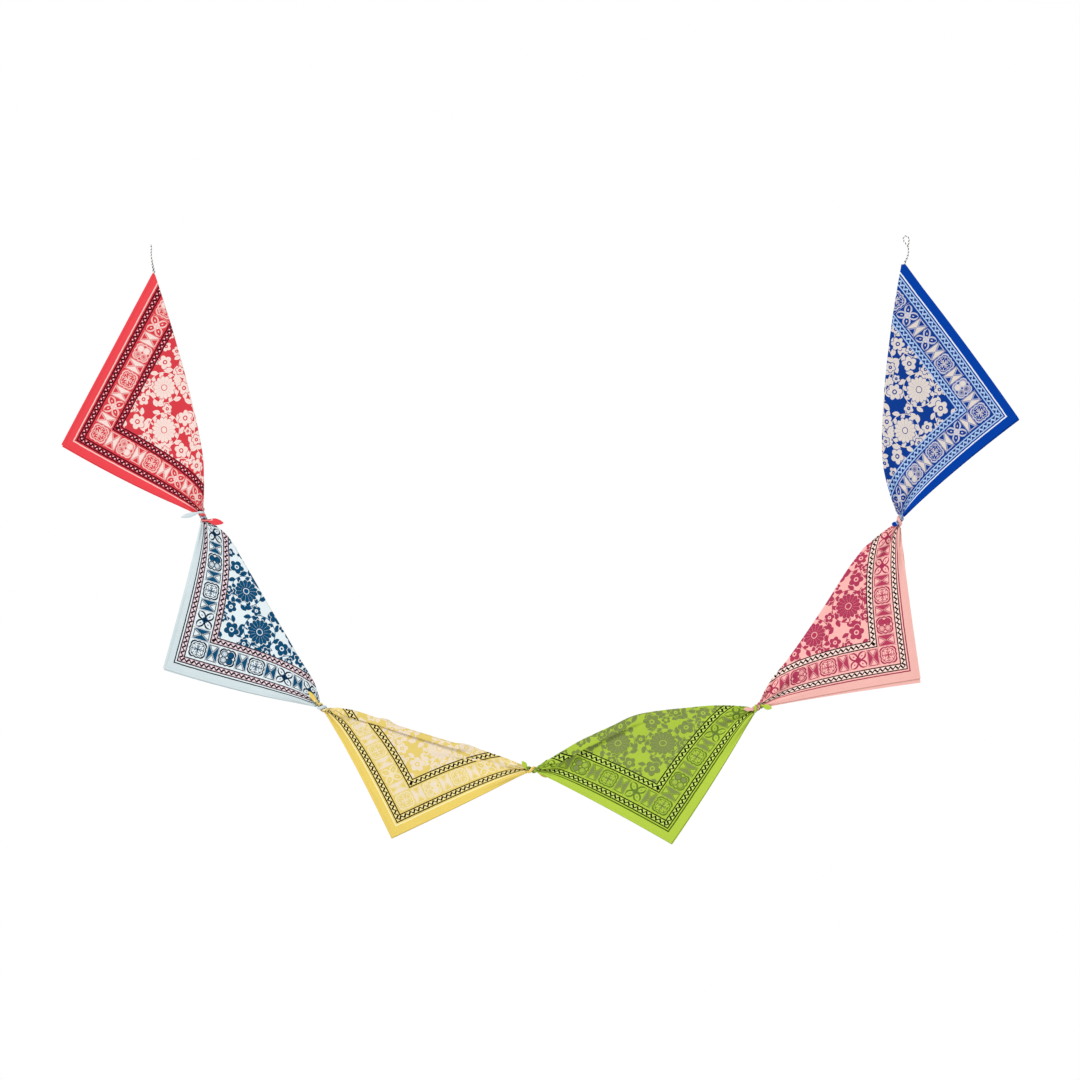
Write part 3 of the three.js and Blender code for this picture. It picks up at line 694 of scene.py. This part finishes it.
class Number:
    """A number in a node tree. Arithmetic on it adds Math nodes."""

    def __init__(self, tree, socket):
        self.tree, self.socket = tree, socket

    def math(self, operation, *others, clamp=False):
        inputs = dict(enumerate((self, *others)))
        node = add_node(self.tree, "ShaderNodeMath", inputs, operation=operation, use_clamp=clamp)
        return Number(self.tree, node.outputs[0])

    def __add__(self, other):
        return self.math("ADD", other)

    def __sub__(self, other):
        return self.math("SUBTRACT", other)

    def __mul__(self, other):
        return self.math("MULTIPLY", other)

    def __truediv__(self, other):
        return self.math("DIVIDE", other)

    def __abs__(self):
        return self.math("ABSOLUTE")

    def minus_from(self, other):
        return self.math("MULTIPLY_ADD", -1.0, other)

    def below(self, edge, soft=0.5):
        """1 where the number is under the edge, 0 over it, and soft between."""
        if isinstance(edge, Number):
            return (edge - self).math("MULTIPLY_ADD", 1 / soft, 0.5, clamp=True)
        return self.math("MULTIPLY_ADD", -1 / soft, edge / soft + 0.5, clamp=True)

    def over(self, edge, soft=0.5):
        """1 where the number is over the edge."""
        return self.math("MULTIPLY_ADD", 1 / soft, 0.5 - edge / soft, clamp=True)

    def near(self, place, half, soft=0.5):
        """1 within half of a place."""
        return abs(self - place).below(half, soft)

    def both(self, other):
        return self * other

    def either(self, other):
        return self.math("MAXIMUM", other)

    def without(self, other):
        return self * other.minus_from(1.0)

    def pick(self, yes, no):
        """yes where this mask is 1, no where it is 0."""
        return (yes - no).math("MULTIPLY_ADD", self, no)


def hypot(x, y):
    return (x * x).math("MULTIPLY_ADD", 1.0, y * y).math("SQRT")


def vector(tree, operation, *values):
    """The result of a Vector Math node."""
    return add_node(tree, "ShaderNodeVectorMath", dict(enumerate(values)),
                    operation=operation).outputs[0]


def first_two(tree, place):
    """The first two parts of a vector, as numbers."""
    split = add_node(tree, "ShaderNodeSeparateXYZ", {0: place})
    return [Number(tree, split.outputs[k]) for k in (0, 1)]


def noise(tree, place, scale, detail=2.0):
    """A noise, as its level and its colour."""
    return add_node(tree, "ShaderNodeTexNoise",
                    {"Vector": place, "Scale": scale, "Detail": detail}).outputs


def most(values, operation="MAXIMUM"):
    """The largest of some numbers, or with MINIMUM the smallest."""
    found = values[0]
    for value in values[1:]:
        found = found.math(operation, value)
    return found


# Layout of the printed square, in millimetres from its hemmed edge
EDGE_LINE, EDGE_LINE_HALF = 25.5, 1.7
BANDS = ((32.0, 49.5), (107.5, 126.0))
# Zigzag: period and swing, half a thin stroke and what a thick one has more, where the lines
# beside it lie in from the band's edge and half their width, and the small triangles' place, half
# their height and the part of the swing that they leave free
ZIGZAG_PERIOD, ZIGZAG_SWING = 14.4, 7.6
THIN_STROKE, THICKER = 2.0, 1.6
SIDE_LINE_IN, SIDE_LINE_HALF = 0.6, 1.6
TOOTH_SWING, TOOTH_HALF, TOOTH_FREE = 5.2, 1.7, 0.3
TILE_MIDDLE, TILE_HALF, TILE_PITCH = 79.5, 25.0, 84.5
FIELD_START, PATTERN_START = 127.0, 118.0
HAND_WOBBLE = 1.6
LEAF_LEAN = 0.72
REVERSE_STRENGTH = 0.4
# Weave, in radians to a millimetre, and the crease beside the hem, from the edge of the cloth
WEAVE, HEM_CREASE = 10.0, 8.0

# Turns the sum or the difference of two sides into a distance along or off the diagonal
DIAGONAL = 0.7071
# Motifs of the tiles, from the middle of each. Border: place, half its width, lobes and their depth
BORDER_AT, BORDER_HALF, LOBES, LOBE_DEPTH = 22.0, 1.9, 12.0, 0.9
# Rosette: ring and the depth of its waves, reach of its petals and of its arms, and its heart
RING_AT, RING_HALF, RING_WAVE, ROSETTE_REACH, ARM_REACH, HEART = 16.4, 1.0, 1.3, 11.5, 17.0, 3.0
# Four round petals: where each is centred, both ways, its reach and half its outline
ROUND_AT, ROUND_REACH, ROUND_LINE = 8.8, 8.4, 1.2
# Four pointed petals: middle, half length and half width, and half the outline
POINTED_AT, POINTED_LONG, POINTED_WIDE, POINTED_LINE = 16.5, 15.5, 8.6, 2.3
# Hourglass: half its width and height, the line at its side and where its tile ends
GLASS_WIDE, GLASS_HIGH, GLASS_LINE, GLASS_EDGE = 14.5, 23.5, 16.2, 17.0

# Flowers of the middle of the print: place from the field's corner, size, petals and turn
DAISIES = [(118, 60, 35, 16, 0.3), (62, 160, 32, 14, 0.0)]
OPEN_FLOWERS = [
    (40, 42, 22, 5, 0.5), (190, 38, 21, 5, 1.1), (156, 118, 22, 6, 0.2),
    (26, 104, 17, 5, 0.9), (30, 222, 20, 5, 0.1), (252, 30, 19, 6, 0.7),
    (112, 186, 18, 5, 0.4), (214, 86, 14, 5, 0.2), (98, 114, 14, 5, 0.6),
    (82, 14, 15, 5, 0.3), (150, 12, 14, 5, 0.8), (12, 150, 13, 5, 0.2),
    (10, 68, 12, 5, 0.5), (220, 12, 12, 5, 0.0), (78, 222, 12, 5, 0.9),
    (12, 262, 14, 5, 0.4), (288, 10, 13, 5, 0.1), (44, 264, 13, 5, 0.7),
    (266, 60, 12, 5, 0.3), (8, 294, 10, 5, 0.2), (180, 92, 11, 5, 0.6),
]
# Leafy stems, as arcs: centre, radius, leaf pitch, half the leaf's length and width
STEMS = [
    (0, 0, 144, 17, 12.5, 6.2), (118, 60, 45, 15, 11.5, 5.8), (62, 160, 42, 15, 11, 5.6),
    (0, 0, 222, 18, 13, 6.6), (268, 156, 98, 17, 12.5, 6.2), (0, 0, 76, 15, 11, 5.6),
    (156, 268, 94, 17, 12.5, 6.2), (120, -50, 70, 16, 11, 5.4), (-50, 120, 66, 16, 11, 5.4),
    (0, 0, 18, 13, 9, 5.0), (240, -40, 72, 16, 11, 5.4),
]


def flower(x, y, daisy, px, py, size, petals, turn):
    """Masks of one flower, its fine lines and its outline, and how far a point is outside it."""
    dx, dy = x - px, y - py
    r = hypot(dx, dy)
    phase = dy.math("ARCTAN2", dx).math("MULTIPLY_ADD", petals / 2, turn)
    petal = abs(phase.math("COSINE"))
    # A daisy's petals are shallow and kept apart, and those of the other flowers are deep
    deep, ring_half = (0.16, 1.0) if daisy else (0.34, 1.6)
    rim = petal.math("MULTIPLY_ADD", size * deep, size * (1 - deep))
    veins = (abs(phase.math("SINE")) * r).below(1.0).both(r.near(size * 0.55, size * 0.2))
    ring = r.near(size * 0.24, ring_half)
    away = r - rim
    mask = r.below(rim).without(ring)
    if daisy:
        mask = mask.without((petal * r).below(1.3).both(r.over(size * 0.36)))
    return mask, veins, away.near(-0.8, 0.7), away


def stem(x, y, px, py, radius, pitch, long, wide):
    """Masks of a curved stem with a leaf to each side in turn, and of the leaves' veins."""
    dx, dy = x - px, y - py
    off = hypot(dx, dy) - radius
    along = dy.math("ARCTAN2", dx) * (radius / pitch)
    side = (along.math("FLOOR") * 0.5).math("FRACT").math("MULTIPLY_ADD", 4.0, -1.0)
    p = (along.math("FRACT") - 0.5) * pitch
    c = (off * side) - long * 0.62
    lp = (p * math.cos(LEAF_LEAN)) + (c * math.sin(LEAF_LEAN))
    lq = (c * math.cos(LEAF_LEAN)) - (p * math.sin(LEAF_LEAN))
    blade = abs(lq).below((lp * lp).math("MULTIPLY_ADD", -wide / long ** 2, wide))
    vein = abs(lq).below(0.5).both(abs(lp).below(long * 0.6))
    return blade.either(abs(off).below(1.0)), vein


def tile_motifs(s, d, near_a):
    """Masks of the tiles' filled shapes, of their outlines and of the fine lines in them."""
    t = d - TILE_MIDDLE
    cell = (s - TILE_MIDDLE) / TILE_PITCH + 0.5
    index = cell.math("FLOOR")
    between = (cell.math("FRACT") - 0.5) * TILE_PITCH
    far = s.minus_from(SIDE).below(TILE_MIDDLE + TILE_HALF + 1)
    local = far.pick(s - (SIDE - TILE_MIDDLE), between)
    x, y = abs(local), abs(t)
    r, angle = hypot(x, y), t.math("ARCTAN2", local)
    lobed_edge = (angle * LOBES).math("COSINE")
    box = (x.math("MAXIMUM", y) * 0.72) + (r * 0.28)
    border = (box - lobed_edge * LOBE_DEPTH).near(BORDER_AT, BORDER_HALF)
    diagonal = abs(x - y) * DIAGONAL
    arms = x.math("MINIMUM", y)

    # Eight petals with lines from the middle, in a square border with rounded lobes
    wavy = box - lobed_edge * RING_WAVE
    burst = (angle * 8.0).math("COSINE").below(-0.55, 0.3).both(r.below(ROSETTE_REACH))
    rosette_lines = most([border, wavy.near(RING_AT, RING_HALF),
                          arms.below(1.1).both(r.below(ARM_REACH)),
                          diagonal.below(0.9).both(r.over(12.0)).both(box.below(18.0))])
    rosette = burst.either(r.below(HEART))

    # Four round petals, the two on one side filled
    corner = hypot(x - ROUND_AT, y - ROUND_AT)
    petals_here = corner.below(ROUND_REACH)
    lobed_lines = corner.near(ROUND_AT, ROUND_LINE).either(border)
    streaks = ((x - y) * 1.4).math("SINE").over(0.0, 0.6).both(corner.over(2.5, 3.0))
    lobed = petals_here.both(local.over(0.0, 6.0).either(streaks * 0.8))

    # Four pointed petals along the diagonals, with a filled cross in the middle
    along = (x + y) * DIAGONAL
    from_middle = along - POINTED_AT
    width = (from_middle * from_middle).math(
        "MULTIPLY_ADD", -POINTED_WIDE / POINTED_LONG ** 2, POINTED_WIDE)
    pointed_lines = (diagonal - width).near(0.0, POINTED_LINE, 0.7).both(box.below(24.5))
    pointed = diagonal.below(1.4).both(along.near(16.0, 2.5)).either(
        r.below(8.5).both(diagonal.below(4.2)))

    odd = (index * 0.5).math("FRACT").over(0.25, 0.1)
    is_last = index.near(4.0, 0.5, 0.1).without(far)
    swap = index.near(1.0, 0.5, 0.1)
    round_here = odd.both(near_a.pick(swap.minus_from(1.0), swap))
    pointed_here = odd.either(is_last).without(far)
    filled = round_here.pick(lobed, pointed_here.pick(pointed, rosette))
    outlines = round_here.pick(lobed_lines, pointed_here.pick(pointed_lines, rosette_lines))

    # Hourglass tiles between them: filled sides, and ends with an outlined triangle
    across = abs(between).minus_from(TILE_PITCH / 2)
    h, tt = across / GLASS_WIDE, y / GLASS_HIGH
    slope = h - tt
    panel = h.below(1.0, 0.04).both(tt.below(1.0, 0.03))
    glass = slope.over(0.06, 0.05)
    edges = slope.near(-0.2, 0.07, 0.04).either(tt.near(0.94, 0.05, 0.03).both(
        slope.below(-0.1, 0.04)))
    fine = slope.near(0.0, 0.04, 0.03).both(panel).either(across.near(GLASS_LINE, 0.4))
    in_glass = across.below(GLASS_EDGE).without(far)
    here = d.near(TILE_MIDDLE, TILE_HALF + 1.0).both(s.over(53.0))
    flowers_here = x.below(TILE_HALF).without(in_glass)
    filled = in_glass.pick(glass.both(panel), filled.both(flowers_here))
    outlines = in_glass.pick(edges.both(panel), outlines.both(flowers_here))
    return filled.both(here), outlines.both(here), fine.both(in_glass).both(here)


def print_group():
    """Node group: masks of the printed square from the flat place of a point."""
    tree = bpy.data.node_groups.new("printed square", "ShaderNodeTree")
    tree.interface.new_socket("Flat", in_out="INPUT", socket_type="NodeSocketVector")
    names = ("Ground", "Print", "Outline", "Fine", "Line", "Band", "Teeth", "Edge line",
             "Hem distance")
    for name in names:
        tree.interface.new_socket(name, in_out="OUTPUT", socket_type="NodeSocketFloat")
    given, out = add_node(tree, "NodeGroupInput"), add_node(tree, "NodeGroupOutput")
    place = vector(tree, "MULTIPLY", given.outputs["Flat"], (SIDE,) * 3)
    shift = vector(tree, "SUBTRACT", noise(tree, place, 0.09, 1.0)[1], (0.5,) * 3)
    a, b = first_two(tree, vector(tree, "MULTIPLY_ADD", shift, (HAND_WOBBLE,) * 3, place))
    near = [x.math("MINIMUM", x.minus_from(SIDE)) for x in (a, b)]
    d = near[0].math("MINIMUM", near[1])
    near_a = (near[0] - near[1]).below(0.0, 0.1)
    s = near_a.pick(b, a)

    lines, bands, teeth = [], [], []
    beat = s / ZIGZAG_PERIOD
    swing = (beat * 2.0).math("PINGPONG", 1.0) - 0.5
    stroke_half = beat.math("FRACT").below(0.5, 0.1).math("MULTIPLY_ADD", THICKER, THIN_STROKE)
    for low, high in BANDS:
        middle, half = (low + high) / 2, (high - low) / 2
        off = d - middle
        lines += [abs(off - swing * ZIGZAG_SWING).below(stroke_half),
                  abs(off).near(half - SIDE_LINE_IN, SIDE_LINE_HALF)]
        notch = abs(off + swing * TOOTH_SWING)
        teeth.append(notch.below(TOOTH_HALF).both(abs(swing).over(TOOTH_FREE, 0.1)))
        bands.append(abs(off).below(half))

    # The middle is folded over the diagonal, so both halves of the square have its flowers
    over = (a + b - SIDE).math("MAXIMUM", 0.0)
    x, y = (a - over) - PATTERN_START, (b - over) - PATTERN_START
    blooms = [flower(x, y, True, *spec) for spec in DAISIES]
    blooms += [flower(x, y, False, *spec) for spec in OPEN_FLOWERS]
    leaves = [stem(x, y, *spec) for spec in STEMS]
    outside = most([away for *_, away in blooms], "MINIMUM")
    clear = outside.over(1.8)
    in_field = d.over(FIELD_START)
    leaf = most([mask for mask, _ in leaves]).both(clear)
    vein = most([mask for _, mask in leaves]).both(clear)
    motifs, outlines, tile_lines = tile_motifs(s, d, near_a)
    printed = most([mask for mask, *_ in blooms]).either(leaf).both(in_field).either(motifs)
    fine = most([mask for _, mask, *_ in blooms]).either(vein).both(in_field).either(tile_lines)
    outlines = outlines.either(most([rim for *_, rim, _ in blooms]).both(in_field))
    values = (d.over(EDGE_LINE), printed, outlines, fine, most(lines), most(bands), most(teeth),
              d.near(EDGE_LINE, EDGE_LINE_HALF))
    for name, value in zip(names, values):
        tree.links.new(value.socket, out.inputs[name])
    true_a, true_b = first_two(tree, place)
    hem = most([true_a, true_a.minus_from(SIDE), true_b, true_b.minus_from(SIDE)], "MINIMUM")
    tree.links.new(hem.socket, out.inputs["Hem distance"])
    return tree


def new_material(name):
    """A material, its node tree and its shader."""
    material = bpy.data.materials.new(name)
    material.use_nodes = True
    return material, material.node_tree, material.node_tree.nodes["Principled BSDF"]


def dye(tree, shader, colour, shade, height, relief):
    """Give a shader its colour, darker or lighter by the shade, and a relief in millimetres."""
    dyed = add_node(tree, "ShaderNodeHueSaturation", {"Value": shade, "Color": colour})
    bump = add_node(tree, "ShaderNodeBump", {"Height": height, "Strength": 0.5,
                                             "Distance": relief * MM})
    tree.links.new(dyed.outputs[0], shader.inputs["Base Color"])
    tree.links.new(bump.outputs[0], shader.inputs["Normal"])


def cotton(name, group, colours, reverse=False):
    """Printed plain-weave cotton: print, weave, mottling, and the crease of the hem, pressed in as a bump
    and darkened with painted shade.
    """
    material, tree, shader = new_material(name)
    flat = add_node(tree, "ShaderNodeUVMap", uv_map="flat").outputs["UV"]
    marks = add_node(tree, "ShaderNodeGroup", node_tree=group)
    tree.links.new(flat, marks.inputs["Flat"])
    colour = rgba(colours["cloth"])
    for mask, role in (("Ground", "ground"), ("Band", "band"), ("Print", "print"),
                       ("Outline", "outline"), ("Teeth", "teeth"), ("Edge line", "edge_line"),
                       ("Fine", "outline"), ("Line", "line")):
        strength = REVERSE_STRENGTH if reverse else 1.0
        factor = Number(tree, marks.outputs[mask]) * strength
        mix = add_node(tree, "ShaderNodeMix", {0: factor, 6: colour, 7: rgba(colours[role])},
                       data_type="RGBA")
        colour = mix.outputs[2]
    place = vector(tree, "MULTIPLY", flat, (SIDE,) * 3)
    cloud = Number(tree, noise(tree, place, 0.02, 3.0)[0])
    slub = Number(tree, noise(tree, place, 0.9)[0])
    a, b = first_two(tree, place)
    threads = (a * WEAVE).math("SINE") * (b * WEAVE).math("SINE")
    # Painted shade: a line along the hem's crease darkens the cloth's colour there, while the bump presses
    # the crease in.
    seam = Number(tree, marks.outputs["Hem distance"]).near(HEM_CREASE, 0.5, 1.0)
    shade = (((cloud * 0.1 + slub * 0.08) + 0.91) + threads * 0.02) - seam * 0.1
    dye(tree, shader, colour, shade, (threads * 0.5 + slub) - seam * 1.5, 0.12)
    shader.inputs["Roughness"].default_value = 0.9
    shader.inputs["Specular IOR Level"].default_value = 0.05
    shader.inputs["Sheen Weight"].default_value = 0.02
    shader.inputs["Sheen Roughness"].default_value = 0.5
    return material


def thread(name, colour):
    """Spun thread, with fine fibres across it and uneven colour."""
    material, tree, shader = new_material(name)
    place = add_node(tree, "ShaderNodeTexCoord").outputs["Object"]
    fibres = Number(tree, noise(tree, place, 2600.0, 3.0)[0])
    cloud = Number(tree, noise(tree, place, 420.0)[0])
    dye(tree, shader, rgba(colour), (fibres * 0.3 + cloud * 0.3) + 0.7, fibres, 0.15)
    shader.inputs["Roughness"].default_value = 0.8
    shader.inputs["Specular IOR Level"].default_value = 0.2
    return material


def stitch_tree():
    """Geometry Nodes: a row of stitches along the edges of a mesh."""
    tree = bpy.data.node_groups.new("stitches along a line", "GeometryNodeTree")
    sockets = {}
    for name, kind, default in (("Geometry", "NodeSocketGeometry", None),
                                ("Pitch", "NodeSocketFloat", 0.003),
                                ("Length", "NodeSocketFloat", 0.002),
                                ("Thread", "NodeSocketFloat", 0.00025),
                                ("Material", "NodeSocketMaterial", None)):
        socket = tree.interface.new_socket(name, in_out="INPUT", socket_type=kind)
        if default is not None:
            socket.default_value = default
        sockets[name] = socket.identifier
    tree.interface.new_socket("Geometry", in_out="OUTPUT", socket_type="NodeSocketGeometry")
    given, out = add_node(tree, "NodeGroupInput"), add_node(tree, "NodeGroupOutput")
    curve = add_node(tree, "GeometryNodeMeshToCurve", {"Mesh": given.outputs["Geometry"]})
    spaced = add_node(tree, "GeometryNodeResampleCurve",
                      {"Curve": curve.outputs[0], "Length": given.outputs["Pitch"]},
                      mode="LENGTH")
    ball = add_node(tree, "GeometryNodeMeshIcoSphere", {"Radius": 0.5, "Subdivisions": 1})
    tangent = add_node(tree, "GeometryNodeInputTangent")
    turned = add_node(tree, "FunctionNodeAlignRotationToVector", {"Vector": tangent.outputs[0]},
                      axis="X")
    size = add_node(tree, "ShaderNodeCombineXYZ", {0: given.outputs["Length"],
                                                   1: given.outputs["Thread"],
                                                   2: given.outputs["Thread"]})
    placed = add_node(tree, "GeometryNodeInstanceOnPoints",
                      {"Points": spaced.outputs[0], "Instance": ball.outputs[0],
                       "Rotation": turned.outputs[0], "Scale": size.outputs[0]})
    real = add_node(tree, "GeometryNodeRealizeInstances", {0: placed.outputs[0]})
    finish = add_node(tree, "GeometryNodeSetMaterial", {"Geometry": real.outputs[0],
                                                        "Material": given.outputs["Material"]})
    tree.links.new(finish.outputs[0], out.inputs[0])
    return tree, sockets


# Operators: one for each group of pieces and one for the stage

class BUNTING_OT_stage(bpy.types.Operator):
    """Make the floor, the light all round, the three lights and the camera"""
    bl_idname = "bunting.stage"
    bl_label = "Stage"

    def execute(self, context):
        size = context.scene.bunting_stage
        cx, cz = (c * MM for c in PICTURE_CENTRE)
        camera_data = bpy.data.cameras.new("camera")
        camera_data.sensor_width = SENSOR
        camera_data.lens = SENSOR * CAMERA_DISTANCE / PICTURE_SIZE
        camera_data.clip_end = 100
        camera = bpy.data.objects.new("camera", camera_data)
        camera.location = (cx, -CAMERA_DISTANCE * MM, cz)
        camera.rotation_euler = (math.pi / 2, 0, 0)
        context.scene.collection.objects.link(camera)
        context.scene.camera = camera

        corners = [(x * FLOOR_REACH, y * FLOOR_REACH, 0)
                   for x, y in ((-1, -1), (1, -1), (1, 1), (-1, 1))]
        floor = mesh_object("floor", corners, [(0, 1, 2, 3)])
        for vertex in floor.data.vertices:
            vertex.co.z = size.floor_level
        material, _, shader = new_material("pale_floor")
        shader.inputs["Base Color"].default_value = rgba(size.floor_colour)
        shader.inputs["Roughness"].default_value = 0.7
        floor.data.materials.append(material)

        world = bpy.data.worlds.new("surround")
        world.use_nodes = True
        tree = world.node_tree
        sky = tree.nodes["Background"]
        sky.inputs["Color"].default_value = rgba(linear(LIGHT))
        seen = add_node(tree, "ShaderNodeLightPath").outputs["Is Camera Ray"]
        level = add_node(tree, "ShaderNodeMix", {0: seen, 2: size.surround, 3: 1.0})
        tree.links.new(level.outputs[0], sky.inputs["Strength"])
        context.scene.world = world
        context.scene.view_settings.view_transform = "Standard"
        for name, tilt, swing, power, spread in LIGHTS:
            data = bpy.data.lights.new(name, "SUN")
            data.energy = size.key_power * power
            data.angle = math.radians(spread)
            light = bpy.data.objects.new(name, data)
            light.rotation_euler = (math.radians(tilt), 0, math.radians(swing))
            context.scene.collection.objects.link(light)
        return {"FINISHED"}


class BUNTING_OT_cords(bpy.types.Operator):
    """Make the two hanging loops of black and white twisted cord"""
    bl_idname = "bunting.cords"
    bl_label = "Hanging loops"

    def execute(self, context):
        size = context.scene.bunting_cord
        plies = (thread("black_yarn", size.black), thread("white_yarn", size.white))
        for name, route in LOOPS:
            length = step_lengths(curve_through(route, 400)).sum()
            steps = int(length / (size.lay / MM) * RINGS_A_TURN)
            path = curve_through(route, steps + 1)
            _, sides, others = carried_frames(path, np.array((1.0, 0.0, 0.0)))
            # A whole number of turns, or a half more, sets the stripes of both legs side by side
            turns = round(length / (size.lay / MM)) + (0.5 if others[0] @ others[-1] < 0 else 0)
            around = np.linspace(0, 2 * math.pi * turns, steps + 1)
            ply = size.diameter / MM * PLY_SHARE
            points, faces, slots = [], [], []
            for k in (0, 1):
                turn = around + k * math.pi
                offset = sides * np.cos(turn)[:, None] + others * np.sin(turn)[:, None]
                middle = path + offset * (size.diameter / MM / 2 - ply)
                _, right, front = carried_frames(middle, sides[0])
                angles = np.arange(PLY_SIDES) / PLY_SIDES * 2 * math.pi
                rings = (middle[:, None] + ply * (right[:, None] * np.cos(angles)[:, None]
                                                  + front[:, None] * np.sin(angles)[:, None]))
                base = len(points)
                points += rings.reshape(-1, 3).tolist()
                made = grid_faces(steps + 1, PLY_SIDES, closed=True)
                made += [tuple(range(PLY_SIDES))[::-1],
                         tuple(range(steps * PLY_SIDES, (steps + 1) * PLY_SIDES))]
                faces += [tuple(base + v for v in face) for face in made]
                slots += [k] * len(made)
            piece = mesh_object(name + "_cord", points, faces)
            for material in plies:
                piece.data.materials.append(material)
            piece.data.polygons.foreach_set("material_index", slots)
            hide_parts(name)
            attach(piece, "root")
        return {"FINISHED"}


class BUNTING_OT_bandanas(bpy.types.Operator):
    """Make the six bandanas, from one tail through the knots and the folded cloth to the other"""
    bl_idname = "bunting.bandanas"
    bl_label = "Bandanas"

    def execute(self, context):
        cloth = context.scene.bunting_cloth
        palette = context.scene.bunting_colours
        group = print_group()
        stitches, sockets = stitch_tree()
        for index, row in enumerate(BANDANAS):
            name = row["name"]
            node = "bandana_" + name
            colours = {role: getattr(palette, f"{name}_{role}") for role in ROLES}
            grid, flat, lines = bandana_grid(row, index, cloth)
            rows, columns = grid.shape[:2]
            faces = [face[::-1] for face in grid_faces(rows, columns)]
            piece = mesh_object(name + "_cloth", grid.reshape(-1, 3), faces, flat.reshape(-1, 2))
            piece.data.materials.append(cotton(name + "_cotton", group, colours))
            piece.data.materials.append(cotton(name + "_cotton_inside", group, colours, True))
            solid = piece.modifiers.new("thickness", "SOLIDIFY")
            solid.thickness = cloth.thickness
            solid.offset = 0
            solid.material_offset = 1
            solid.material_offset_rim = 0
            settled(piece)
            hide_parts(node)
            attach(piece, "root")

            count = len(lines[0])
            edges = [(i, i + 1) for i in range(2 * count - 1) if i != count - 1]
            sewing = mesh_object(name + "_stitches", np.concatenate(lines), [], edges=edges)
            modifier = sewing.modifiers.new("stitches", "NODES")
            modifier.node_group = stitches
            modifier[sockets["Pitch"]] = cloth.stitch_pitch
            modifier[sockets["Length"]] = cloth.stitch_length
            tint = [c * 0.82 for c in colours["cloth"]]
            modifier[sockets["Material"]] = thread(name + "_thread", tint)
            settled(sewing)
            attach(sewing, "root")
        return {"FINISHED"}


class BUNTING_PT_panel(bpy.types.Panel):
    """Sizes, colours and steps of the bunting"""
    bl_idname = "BUNTING_PT_panel"
    bl_label = "Fabric bunting"
    bl_space_type = "VIEW_3D"
    bl_region_type = "UI"
    bl_category = "Bunting"

    def draw(self, context):
        for key in GROUPS:
            settings = getattr(context.scene, key)
            for prop in settings.bl_rna.properties:
                if prop.identifier not in ("rna_type", "name"):
                    self.layout.prop(settings, prop.identifier)
        for operator in OPERATORS:
            self.layout.operator(operator.bl_idname)


GROUPS = {"bunting_cloth": BUNTING_PG_cloth, "bunting_cord": BUNTING_PG_cord,
          "bunting_colours": BUNTING_PG_colours, "bunting_stage": BUNTING_PG_stage}
OPERATORS = (BUNTING_OT_stage, BUNTING_OT_cords, BUNTING_OT_bandanas)
CLASSES = (*GROUPS.values(), *OPERATORS, BUNTING_PT_panel)


def register():
    for cls in CLASSES:
        bpy.utils.register_class(cls)
    for key, group in GROUPS.items():
        setattr(bpy.types.Scene, key, PointerProperty(type=group))


def unregister():
    for key in GROUPS:
        delattr(bpy.types.Scene, key)
    for cls in reversed(CLASSES):
        bpy.utils.unregister_class(cls)


def main():
    register()
    bpy.ops.bunting.stage()
    bpy.ops.bunting.cords()
    bpy.ops.bunting.bandanas()


if __name__ == "__main__":
    main()
